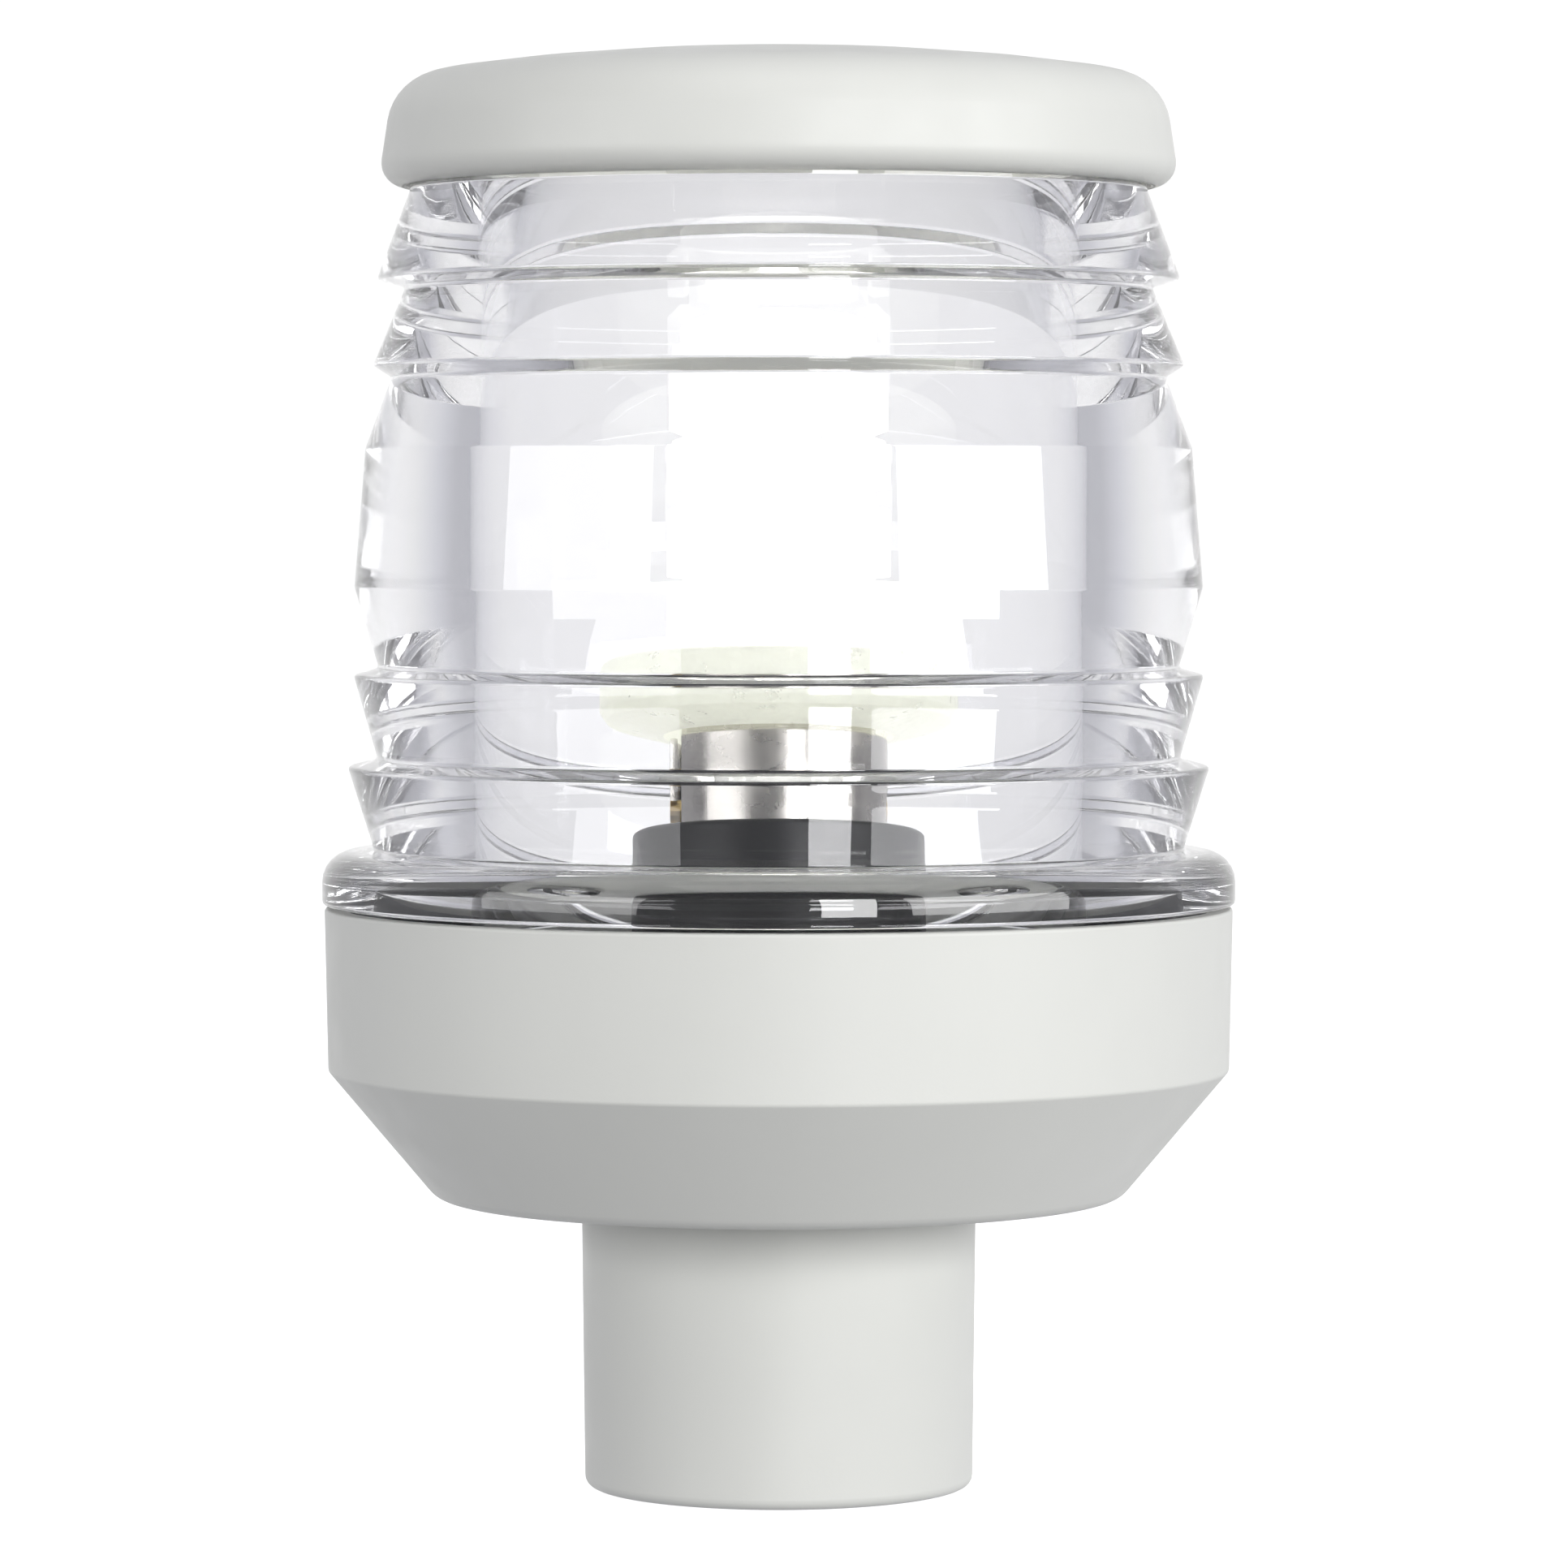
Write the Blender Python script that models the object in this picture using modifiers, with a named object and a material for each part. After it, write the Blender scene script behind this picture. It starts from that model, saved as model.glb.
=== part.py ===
"""All-round navigation light on a pole socket: housing with shank, clear Fresnel drum lens with a
domed cap, and an LED bulb with two bayonet pins in its lamp holder.

Metres, +Z up. The origin is the centre of the shank's bottom face, and Z is the axis of the light.
"""

from math import acos, atan2, cos, pi, radians, sin, sqrt, tan

import bmesh
import bpy

MM = 0.001

# Clearance between neighbouring pieces, and the number of flats round a large and a small circle
GAP = 0.3 * MM
LARGE_STEPS = 48
SMALL_STEPS = 32
FINE_STEPS = 16
SHARP_ANGLE = radians(35.0)
WELD_DISTANCE = 0.01 * MM

# Housing: cup, cone and shank in one moulding
SHANK_RADIUS_TOP = 15.0 * MM
SHANK_RADIUS_BOTTOM = 14.75 * MM
SHANK_LENGTH = 22.05 * MM
SHANK_EDGE = 0.8 * MM
POLE_RADIUS = 12.7 * MM
POLE_STOP_Z = 20.0 * MM
CABLE_HOLE_RADIUS = 7.0 * MM
CONE_RADIUS = 26.0 * MM
CONE_EDGE = 2.0 * MM
CUP_RADIUS_BOTTOM = 34.2 * MM
CUP_CORNER_Z = 31.8 * MM
CUP_RADIUS_TOP = 34.45 * MM
RIM_Z = 44.1 * MM
CUP_BORE_RADIUS = 32.15 * MM
CUP_FLOOR_Z = 24.4 * MM
CONE_WALL = 3.2 * MM
SEAL_STEP_RADIUS = 33.05 * MM
SEAL_STEP_Z = 42.1 * MM
RIM_EDGE = 0.25 * MM
CORNER_EDGE = 0.35 * MM

# Quick thread between lens and housing: three lugs under three ramps on one helix
LUG_COUNT = 3
LUG_LEAD = 9.0 * MM
LUG_FIRST_ANGLE = 30.0
LUG_ARC = 36.0
LUG_Z = 37.0 * MM
LUG_HEIGHT = 1.8 * MM
LUG_REACH = 31.8 * MM
RAMP_REACH = 31.2 * MM
RAMP_BEFORE = 30.0
RAMP_AFTER = 27.0
STOP_ARC = 5.0
STOP_CLEARANCE = 1.2
ROOT_DEPTH = 0.6 * MM

# Lens, heights above the underside of its flange
LENS_Z = RIM_Z + GAP
LENS_BORE_RADIUS = 23.4 * MM
LENS_BORE_BOTTOM = -2.6 * MM
SPIGOT_RADIUS = 30.8 * MM
SPIGOT_BORE_RADIUS = 27.6 * MM
SPIGOT_BOTTOM = -8.4 * MM
FLANGE_RADIUS = 34.65 * MM
FLANGE_EDGE = 0.3 * MM
FLANGE_ROUND = 2.3 * MM
FLANGE_TOP = 4.0 * MM
TIP_ROUND = 0.3 * MM
LOWER_PRISMS = ((30.75, 4.2, 32.70, 10.4), (30.45, 11.0, 32.25, 17.35))
BARREL = ((30.35, 17.9), (32.15, 24.0), (31.30, 34.45), (29.30, 39.8))
UPPER_PRISMS = ((30.70, 40.7, 28.25, 46.6), (30.40, 47.2, 27.90, 53.9))
NECK_RADIUS = 27.9 * MM
NECK_TOP = 57.8 * MM

# Cap, heights above its lower edge
CAP_Z = 98.6 * MM
CAP_RADIUS = 30.2 * MM
CAP_SIDE_SLOPE = radians(8.0)
CAP_LOWER_ROUND = 1.7 * MM
CAP_UPPER_ROUND = 4.3 * MM
CAP_DOME_RADIUS = 190.0 * MM
CAP_HEIGHT = 10.4 * MM
CAP_WALL = 2.1 * MM
CAP_SEAT = NECK_TOP + LENS_Z + GAP - CAP_Z
CAP_COLLAR_BOTTOM = 0.8 * MM
CAP_COLLAR_WALL = 1.8 * MM

# Seal ring on the spigot
SEAL_RADIUS = 31.95 * MM
SEAL_SECTION = 0.75 * MM
SEAL_Z = 43.15 * MM

# Lamp floor on its three posts
FLOOR_RADIUS = 22.9 * MM
FLOOR_Z = 39.0 * MM
FLOOR_THICKNESS = 1.5 * MM
FLOOR_RIM_DEPTH = 2.0 * MM
POST_CIRCLE = 18.0 * MM
POST_RADIUS = 3.0 * MM
POST_ANGLES = (90.0, 210.0, 330.0)
SCREW_HEAD_RADIUS = 2.6 * MM
SCREW_HEAD_HEIGHT = 1.8 * MM
SCREW_RADIUS = 1.2 * MM
FLOOR_SCREW_LENGTH = 10.0 * MM
TERMINAL_SCREW_LENGTH = 5.4 * MM
DRIVE_SLOT_WIDTH = 0.7 * MM
DRIVE_SLOT_DEPTH = 0.8 * MM
FLOOR_SCREW_TURN = radians(37.0)
TERMINAL_SCREW_TURN = radians(25.0)

# Lamp holder: insulator, ring nut, shell, plungers, springs and terminals
INSULATOR_RADIUS = 11.2 * MM
INSULATOR_TOP_Z = 54.7 * MM
HUB_RADIUS = 9.6 * MM
HUB_BOTTOM_Z = 36.0 * MM
RECESS_Z = 47.5 * MM
SHELL_RADIUS = 8.35 * MM
SHELL_BORE_RADIUS = 7.8 * MM
SHELL_TOP_Z = 61.4 * MM
NUT_CORNER_RADIUS = 13.4 * MM
NUT_HEIGHT = 2.6 * MM
CONTACT_OFFSET = 3.5 * MM
PLUNGER_RADIUS = 1.4 * MM
PLUNGER_NOSE = 0.56 * MM
PLUNGER_BORE_RADIUS = 1.75 * MM
PLUNGER_BOTTOM_Z = 43.5 * MM
PLUNGER_TOP_Z = 49.4 * MM
SPRING_RADIUS = 1.15 * MM
SPRING_WIRE = 0.22 * MM
SPRING_TURNS = 5
SPRING_POINTS_PER_TURN = 10
SPRING_WIRE_SIDES = 1
SPRING_BOTTOM_Z = 38.3 * MM
STUD_RADIUS = 1.3 * MM
TERMINAL_WIDTH = 4.4 * MM
TERMINAL_THICKNESS = 0.8 * MM
TERMINAL_INNER_Y = 1.4 * MM
TERMINAL_OUTER_Y = 11.4 * MM
TERMINAL_TAB_LENGTH = 5.8 * MM
TERMINAL_SCREW_Y = 7.2 * MM

# Bayonet: the pins run from the hook at 0 degrees down a slanted slot to the entry channel
PIN_Z = 56.6 * MM
PIN_RADIUS = 1.0 * MM
PIN_REACH = 8.3 * MM
PIN_ROOT = 6.3 * MM
BAYONET_TURN = 20.0
BAYONET_DROP = 1.5 * MM
SLOT_HALF_ANGLE = 9.5
SLOT_HALF_HEIGHT = 1.5 * MM

# LED bulb
BASE_RADIUS = 7.45 * MM
BASE_WALL = 0.45 * MM
BASE_BOTTOM_Z = 50.8 * MM
BASE_TOP_Z = 63.2 * MM
BASE_INSULATOR_TOP_Z = 54.0 * MM
BULB_CONTACT_RADIUS = 1.7 * MM
DISC_RADIUS = 13.75 * MM
DISC_SKIRT_Z = 61.6 * MM
DISC_RECESS_RADIUS = 8.8 * MM
DISC_UNDERSIDE_Z = 62.6 * MM
DISC_RIM_Z = 63.3 * MM
DISC_TOP_Z = 66.9 * MM
DISC_EDGE = 0.5 * MM
LIGHT_CENTRE_Z = 73.7 * MM
BOARD_COUNT = 6
BOARD_APOTHEM = 6.6 * MM
BOARD_THICKNESS = 0.8 * MM
BOARD_WIDTH = 6.2 * MM
BOARD_HEIGHT = 13.0 * MM
CHIP_SIZE = 5.0 * MM
CHIP_THICKNESS = 1.4 * MM
CHIP_PITCH = 6.6 * MM
TOP_BOARD_RADIUS = 7.6 * MM
TOP_BOARD_THICKNESS = 0.8 * MM
TOP_BOARD_HOLE = 2.0 * MM


def clear_scene():
    for old in list(bpy.data.objects):
        bpy.data.objects.remove(old, do_unlink=True)


def new_collection(name, hidden=False):
    collection = bpy.data.collections.new(name)
    collection.hide_render = hidden
    bpy.context.scene.collection.children.link(collection)
    return collection


def plain_material(name, colour, roughness, metallic=0.0, transmission=0.0):
    material = bpy.data.materials.new(name)
    material.use_nodes = True
    shader = material.node_tree.nodes["Principled BSDF"]
    shader.inputs["Base Color"].default_value = (*colour, 1.0)
    shader.inputs["Roughness"].default_value = roughness
    shader.inputs["Metallic"].default_value = metallic
    shader.inputs["Transmission Weight"].default_value = transmission
    material.diffuse_color = (*colour, 1.0)
    return material


clear_scene()
PARTS = new_collection("navigation_light")
CUTTERS = new_collection("cutters", hidden=True)
MATERIALS = {
    "white_abs": plain_material("white_abs", (0.80, 0.80, 0.78), 0.42),
    "clear_polycarbonate": plain_material(
        "clear_polycarbonate", (0.95, 0.96, 0.98), 0.03, transmission=1.0),
    "black_phenolic": plain_material("black_phenolic", (0.03, 0.035, 0.035), 0.5),
    "nickel_plate": plain_material("nickel_plate", (0.66, 0.64, 0.60), 0.22, metallic=1.0),
    "brass": plain_material("brass", (0.72, 0.55, 0.28), 0.3, metallic=1.0),
    "stainless_steel": plain_material("stainless_steel", (0.60, 0.60, 0.60), 0.28, metallic=1.0),
    "seal_rubber": plain_material("seal_rubber", (0.04, 0.04, 0.04), 0.7),
    "milky_plastic": plain_material("milky_plastic", (0.80, 0.83, 0.76), 0.35),
    "board_white": plain_material("board_white", (0.85, 0.86, 0.84), 0.45),
    "phosphor_yellow": plain_material("phosphor_yellow", (0.90, 0.62, 0.12), 0.4),
}


def add_part(name, data, material, parent=None, location=(0.0, 0.0, 0.0), rotation=(0.0, 0.0, 0.0)):
    """One piece of the light, placed in its parent's space."""
    part = bpy.data.objects.new(name, data)
    if not data.materials:
        data.materials.append(MATERIALS[material])
    part.parent = parent
    part.location = location
    part.rotation_euler = rotation
    PARTS.objects.link(part)
    return part


def add_axis(name, height, parent=None):
    """An empty on the light's axis that the moving pieces hang from."""
    axis = bpy.data.objects.new(name, None)
    axis.empty_display_size = 10.0 * MM
    axis.location = (0.0, 0.0, height)
    axis.parent = parent
    PARTS.objects.link(axis)
    return axis


def add_cutter(name, data, parent=None, location=(0.0, 0.0, 0.0), rotation=(0.0, 0.0, 0.0)):
    cutter = bpy.data.objects.new(name, data)
    cutter.parent = parent
    cutter.location = location
    cutter.rotation_euler = rotation
    cutter.hide_render = True
    cutter.display_type = "WIRE"
    CUTTERS.objects.link(cutter)
    return cutter


def boolean(part, cutter, operation):
    modifier = part.modifiers.new(f"{operation.lower()}_{cutter.name}", "BOOLEAN")
    modifier.operation = operation
    modifier.object = cutter


def mesh_from(name, bm, smooth=True):
    mesh = bpy.data.meshes.new(name)
    bm.to_mesh(mesh)
    bm.free()
    if smooth:
        mesh.shade_smooth()
        mesh.set_sharp_from_angle(angle=SHARP_ANGLE)
    return mesh


def box_mesh(name, low, high):
    bm = bmesh.new()
    bmesh.ops.create_cube(bm, size=1.0)
    for vertex in bm.verts:
        for axis in range(3):
            vertex.co[axis] = low[axis] + (high[axis] - low[axis]) * (vertex.co[axis] + 0.5)
    return mesh_from(name, bm, smooth=False)


def cylinder_mesh(name, radius, bottom, top, steps=FINE_STEPS):
    bm = bmesh.new()
    bmesh.ops.create_cone(bm, cap_ends=True, segments=steps, radius1=radius, radius2=radius,
                          depth=top - bottom)
    bmesh.ops.translate(bm, verts=bm.verts, vec=(0.0, 0.0, (top + bottom) / 2))
    return mesh_from(name, bm)


def bent_bar_mesh(name, inner, outer, bottom, height, start, arc_angle, rise, segments=8):
    """A bar bent round Z from start over arc_angle (degrees), climbing by rise on the way."""
    bm = bmesh.new()
    bmesh.ops.create_cube(bm, size=1.0)
    along = [edge for edge in bm.edges if abs(edge.verts[0].co.x - edge.verts[1].co.x) > 0.5]
    bmesh.ops.subdivide_edges(bm, edges=along, cuts=segments - 1, use_grid_fill=True)
    for vertex in bm.verts:
        share, across, up = (value + 0.5 for value in vertex.co)
        angle = radians(start + arc_angle * share)
        radius = inner + (outer - inner) * across
        vertex.co = (radius * cos(angle), radius * sin(angle), bottom + rise * share + height * up)
    bm.normal_update()
    bmesh.ops.recalc_face_normals(bm, faces=bm.faces)
    return mesh_from(name, bm)


def arc(centre, radius, start, end, steps):
    """Points on a circle in the profile plane, angles in radians from +X towards +Z."""
    turns = [start + (end - start) * i / steps for i in range(steps + 1)]
    return [(centre[0] + radius * cos(a), centre[1] + radius * sin(a)) for a in turns]


def turned_profile(name, points, ring):
    """The profile as edges in the XZ plane, closed into a ring or open with both ends on the axis."""
    last = len(points)
    edges = [(i, i + 1) for i in range(last - 1)]
    if ring:
        edges.append((last - 1, 0))
    mesh = bpy.data.meshes.new(name)
    mesh.from_pydata([(radius, 0.0, height) for radius, height in points], edges, [])
    return mesh


def turned_part(name, points, material, ring=True, steps=LARGE_STEPS, **placing):
    """A turned piece: its profile runs down the outer side, top to bottom."""
    part = add_part(name, turned_profile(name, points, ring), material, **placing)
    screw = part.modifiers.new("turn", "SCREW")
    screw.steps = steps
    screw.render_steps = steps
    screw.use_merge_vertices = True
    screw.merge_threshold = WELD_DISTANCE
    screw.use_smooth_shade = True
    return part


def applied_mesh(part):
    """The part's mesh with its modifiers worked out, for copies of it."""
    bpy.context.view_layer.update()
    evaluated = part.evaluated_get(bpy.context.evaluated_depsgraph_get())
    return bpy.data.meshes.new_from_object(evaluated)


def outline_mesh(name, points, width):
    """A flat outline drawn in XY and given its width along Z, as a mesh with its caps welded on."""
    curve = bpy.data.curves.new(name, "CURVE")
    curve.dimensions = "2D"
    curve.fill_mode = "BOTH"
    curve.extrude = width / 2
    spline = curve.splines.new("POLY")
    spline.points.add(len(points) - 1)
    for point, (x, y) in zip(spline.points, points):
        point.co = (x, y, 0.0, 1.0)
    spline.use_cyclic_u = True
    drawn = bpy.data.objects.new(name, curve)
    CUTTERS.objects.link(drawn)
    mesh = applied_mesh(drawn)
    bpy.data.objects.remove(drawn)
    bm = bmesh.new()
    bm.from_mesh(mesh)
    bmesh.ops.remove_doubles(bm, verts=bm.verts, dist=WELD_DISTANCE)
    bmesh.ops.recalc_face_normals(bm, faces=bm.faces)
    bm.to_mesh(mesh)
    bm.free()
    return mesh


# ---- Housing -----------------------------------------------------------------------------------


def housing_profile():
    slope = (CUP_CORNER_Z - SHANK_LENGTH) / (CUP_RADIUS_BOTTOM - CONE_RADIUS)
    lean = atan2(slope, 1.0)
    edge_out, edge_down = CORNER_EDGE * cos(lean), CORNER_EDGE * sin(lean)
    cone_edge = (CONE_RADIUS - CONE_EDGE * tan(lean / 2), SHANK_LENGTH + CONE_EDGE)
    inner_corner = CUP_RADIUS_BOTTOM - CONE_WALL
    inner_floor = inner_corner - (CUP_CORNER_Z - CUP_FLOOR_Z) / slope
    inner_wall_foot = CUP_CORNER_Z + (CUP_BORE_RADIUS - inner_corner) * slope
    shank_foot = (SHANK_RADIUS_BOTTOM - SHANK_EDGE, SHANK_EDGE)
    return [
        (CUP_RADIUS_TOP - RIM_EDGE, RIM_Z),
        (CUP_RADIUS_TOP, RIM_Z - RIM_EDGE),
        (CUP_RADIUS_BOTTOM, CUP_CORNER_Z + CORNER_EDGE),
        (CUP_RADIUS_BOTTOM - edge_out, CUP_CORNER_Z - edge_down),
        *arc(cone_edge, CONE_EDGE, lean - pi / 2, -pi / 2, 4),
        (SHANK_RADIUS_TOP, SHANK_LENGTH),
        *arc(shank_foot, SHANK_EDGE, 0.0, -pi / 2, 3),
        (POLE_RADIUS + GAP, 0.0),
        (POLE_RADIUS, GAP),
        (POLE_RADIUS, POLE_STOP_Z),
        (CABLE_HOLE_RADIUS, POLE_STOP_Z),
        (CABLE_HOLE_RADIUS, CUP_FLOOR_Z),
        (inner_floor, CUP_FLOOR_Z),
        (CUP_BORE_RADIUS, inner_wall_foot),
        (CUP_BORE_RADIUS, SEAL_STEP_Z),
        (SEAL_STEP_RADIUS, SEAL_STEP_Z),
        (SEAL_STEP_RADIUS, RIM_Z),
    ]


def post_places():
    return [(POST_CIRCLE * cos(radians(a)), POST_CIRCLE * sin(radians(a))) for a in POST_ANGLES]


def lug_angles():
    return [LUG_FIRST_ANGLE + 360.0 * i / LUG_COUNT for i in range(LUG_COUNT)]


def rise_over(angle):
    return LUG_LEAD * angle / 360.0


def add_ramps(housing):
    """Each lug slides under a ramp on the same helix and ends against a stop."""
    root = CUP_BORE_RADIUS + ROOT_DEPTH
    span = RAMP_BEFORE + RAMP_AFTER
    for number, centre in enumerate(lug_angles(), 1):
        underside = LUG_Z + LUG_HEIGHT + GAP
        ramp = bent_bar_mesh("ramp", RAMP_REACH, root, underside - rise_over(RAMP_BEFORE), LUG_HEIGHT,
                             centre - RAMP_BEFORE, span, rise_over(span), segments=10)
        boolean(housing, add_cutter(f"ramp_{number}", ramp), "UNION")
        stop_end = centre - LUG_ARC / 2 - STOP_CLEARANCE
        stop = bent_bar_mesh("stop", RAMP_REACH, root, LUG_Z, LUG_HEIGHT + 2 * GAP,
                             stop_end - STOP_ARC, STOP_ARC, 0.0, segments=2)
        boolean(housing, add_cutter(f"stop_{number}", stop), "UNION")


def build_housing():
    housing = turned_part("housing", housing_profile(), "white_abs")
    post_top = FLOOR_Z - GAP
    post = cylinder_mesh("post", POST_RADIUS, CUP_FLOOR_Z - ROOT_DEPTH, post_top)
    pilot = cylinder_mesh("pilot", SCREW_RADIUS + GAP, post_top - FLOOR_SCREW_LENGTH, post_top + GAP)
    for number, (x, y) in enumerate(post_places(), 1):
        boolean(housing, add_cutter(f"post_{number}", post, location=(x, y, 0.0)), "UNION")
        boolean(housing, add_cutter(f"pilot_{number}", pilot, location=(x, y, 0.0)), "DIFFERENCE")
    add_ramps(housing)


# ---- Lens and cap ------------------------------------------------------------------------------


def rounded_tip(root, tip, end):
    """A prism's tip between its two faces, cut back by TIP_ROUND on each side."""
    def towards(other):
        length = sqrt((other[0] - tip[0]) ** 2 + (other[1] - tip[1]) ** 2)
        share = TIP_ROUND / length
        return (tip[0] + (other[0] - tip[0]) * share, tip[1] + (other[1] - tip[1]) * share)

    return [towards(root), towards(end)]


def lens_profile():
    """Down the outside from the neck, along the flange and spigot, and up the smooth bore."""
    to_metres = [tuple(value * MM for value in prism) for prism in UPPER_PRISMS + LOWER_PRISMS]
    (tip_2, high_2, root_2, top_2), (tip_1, high_1, root_1, top_1) = to_metres[:2]
    (root_4, low_4, tip_4, high_4), (root_3, low_3, tip_3, high_3) = to_metres[2:]
    barrel = [(radius * MM, height * MM) for radius, height in reversed(BARREL)]
    shoulder = (FLANGE_RADIUS - FLANGE_ROUND, FLANGE_TOP - FLANGE_ROUND)
    return [
        (NECK_RADIUS, NECK_TOP),
        (root_1, top_1),
        *rounded_tip((root_1, top_1), (tip_1, high_1), (root_2, top_2)),
        (root_2, top_2),
        *rounded_tip((root_2, top_2), (tip_2, high_2), barrel[0]),
        *barrel,
        *rounded_tip(barrel[-1], (tip_3, high_3), (root_3, low_3)),
        (root_3, low_3),
        *rounded_tip((root_3, low_3), (tip_4, high_4), (root_4, low_4)),
        (root_4, low_4),
        *arc(shoulder, FLANGE_ROUND, pi / 2, 0.0, 5),
        (FLANGE_RADIUS, FLANGE_EDGE),
        (FLANGE_RADIUS - FLANGE_EDGE, 0.0),
        (SPIGOT_RADIUS, 0.0),
        (SPIGOT_RADIUS, SPIGOT_BOTTOM),
        (SPIGOT_BORE_RADIUS, SPIGOT_BOTTOM),
        (SPIGOT_BORE_RADIUS, LENS_BORE_BOTTOM),
        (LENS_BORE_RADIUS, LENS_BORE_BOTTOM),
        (LENS_BORE_RADIUS, NECK_TOP),
    ]


def build_lens(turn_axis):
    lens = turned_part("lens", lens_profile(), "clear_polycarbonate", parent=turn_axis)
    bottom = LUG_Z - LENS_Z - rise_over(LUG_ARC / 2)
    for number, centre in enumerate(lug_angles(), 1):
        lug = bent_bar_mesh("lug", SPIGOT_RADIUS - ROOT_DEPTH, LUG_REACH, bottom, LUG_HEIGHT,
                            centre - LUG_ARC / 2, LUG_ARC, rise_over(LUG_ARC))
        boolean(lens, add_cutter(f"lug_{number}", lug, parent=turn_axis), "UNION")


def dome_and_side(inset):
    """The cap's dome, its rounded shoulder and its sloping side, moved inwards by inset."""
    dome = CAP_DOME_RADIUS - inset
    fillet = CAP_UPPER_ROUND - inset
    centre_z = CAP_HEIGHT - CAP_DOME_RADIUS
    inward = (-cos(CAP_SIDE_SLOPE), -sin(CAP_SIDE_SLOPE))
    up = (-sin(CAP_SIDE_SLOPE), cos(CAP_SIDE_SLOPE))
    start = (CAP_RADIUS + inward[0] * CAP_UPPER_ROUND, CAP_LOWER_ROUND + inward[1] * CAP_UPPER_ROUND)
    # Where the side's inner parallel meets the dome's: the centre of the shoulder
    along = start[0] * up[0] + (start[1] - centre_z) * up[1]
    away = start[0] ** 2 + (start[1] - centre_z) ** 2 - (CAP_DOME_RADIUS - CAP_UPPER_ROUND) ** 2
    climb = sqrt(along ** 2 - away) - along
    centre = (start[0] + up[0] * climb, start[1] + up[1] * climb)
    crown_angle = acos(centre[0] / (CAP_DOME_RADIUS - CAP_UPPER_ROUND))
    return [
        (0.0, centre_z + dome),
        *arc((0.0, centre_z), dome, (pi / 2 + crown_angle) / 2, crown_angle, 1)[:-1],
        *arc(centre, fillet, crown_angle, CAP_SIDE_SLOPE, 6),
    ]


def build_cap(turn_axis):
    round_centre = (CAP_RADIUS - CAP_LOWER_ROUND, CAP_LOWER_ROUND)
    skirt_bore = NECK_RADIUS + GAP
    collar = LENS_BORE_RADIUS - GAP
    inner_dome = dome_and_side(CAP_WALL)
    ceiling = inner_dome[1][1]
    points = [
        *dome_and_side(0.0),
        *arc(round_centre, CAP_LOWER_ROUND, 0.0, -pi / 2, 4),
        (skirt_bore, 0.0),
        (skirt_bore, CAP_SEAT),
        (collar, CAP_SEAT),
        (collar, CAP_COLLAR_BOTTOM),
        (collar - CAP_COLLAR_WALL, CAP_COLLAR_BOTTOM),
        (collar - CAP_COLLAR_WALL, ceiling - CAP_WALL),
        (collar - 2 * CAP_COLLAR_WALL, ceiling),
        inner_dome[0],
    ]
    place = (0.0, 0.0, CAP_Z - LENS_Z)
    turned_part("cap", points, "white_abs", ring=False, parent=turn_axis, location=place)


def build_seal(lift_axis):
    section = arc((SEAL_RADIUS, 0.0), SEAL_SECTION, pi / 2, -3 * pi / 2, 8)[:-1]
    place = (0.0, 0.0, SEAL_Z - LENS_Z)
    turned_part("lens_seal", section, "seal_rubber", parent=lift_axis, location=place)


# ---- Lamp floor and screws ---------------------------------------------------------------------


def screw_mesh(length):
    """A slotted pan-head screw, its head up and the underside of its head at the origin."""
    head_edge = (SCREW_HEAD_RADIUS - SCREW_HEAD_HEIGHT / 2, SCREW_HEAD_HEIGHT / 2)
    points = [
        (0.0, SCREW_HEAD_HEIGHT),
        *arc(head_edge, SCREW_HEAD_HEIGHT / 2, pi / 2, 0.0, 3),
        (SCREW_HEAD_RADIUS, 0.0),
        (SCREW_RADIUS, 0.0),
        (SCREW_RADIUS, SCREW_RADIUS - length),
        (0.0, -length),
    ]
    screw = turned_part("screw", points, "stainless_steel", ring=False, steps=FINE_STEPS)
    reach = SCREW_HEAD_RADIUS * 2
    slot = box_mesh("drive_slot", (-reach, -DRIVE_SLOT_WIDTH / 2, SCREW_HEAD_HEIGHT - DRIVE_SLOT_DEPTH),
                    (reach, DRIVE_SLOT_WIDTH / 2, SCREW_HEAD_HEIGHT * 2))
    cutter = add_cutter("drive_slot", slot)
    boolean(screw, cutter, "DIFFERENCE")
    mesh = applied_mesh(screw)
    bpy.data.objects.remove(screw)
    bpy.data.objects.remove(cutter)
    return mesh


def build_lamp_floor():
    rim_bore = FLOOR_RADIUS - FLOOR_THICKNESS
    top = FLOOR_THICKNESS
    points = [
        (FLOOR_RADIUS, top),
        (FLOOR_RADIUS, -FLOOR_RIM_DEPTH),
        (rim_bore, -FLOOR_RIM_DEPTH),
        (rim_bore, 0.0),
        (HUB_RADIUS + GAP, 0.0),
        (HUB_RADIUS + GAP, top),
    ]
    floor = turned_part("lamp_floor", points, "white_abs", location=(0.0, 0.0, FLOOR_Z))
    hole = cylinder_mesh("screw_hole", SCREW_RADIUS + GAP, FLOOR_Z - GAP, FLOOR_Z + top + GAP)
    screw = screw_mesh(FLOOR_SCREW_LENGTH)
    for number, (x, y) in enumerate(post_places(), 1):
        boolean(floor, add_cutter(f"screw_hole_{number}", hole, location=(x, y, 0.0)), "DIFFERENCE")
        place = (x, y, FLOOR_Z + top + GAP)
        add_part(f"floor_screw_{number}", screw, "stainless_steel", location=place,
                 rotation=(0.0, 0.0, FLOOR_SCREW_TURN * number))


# ---- Lamp holder -------------------------------------------------------------------------------


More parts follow.
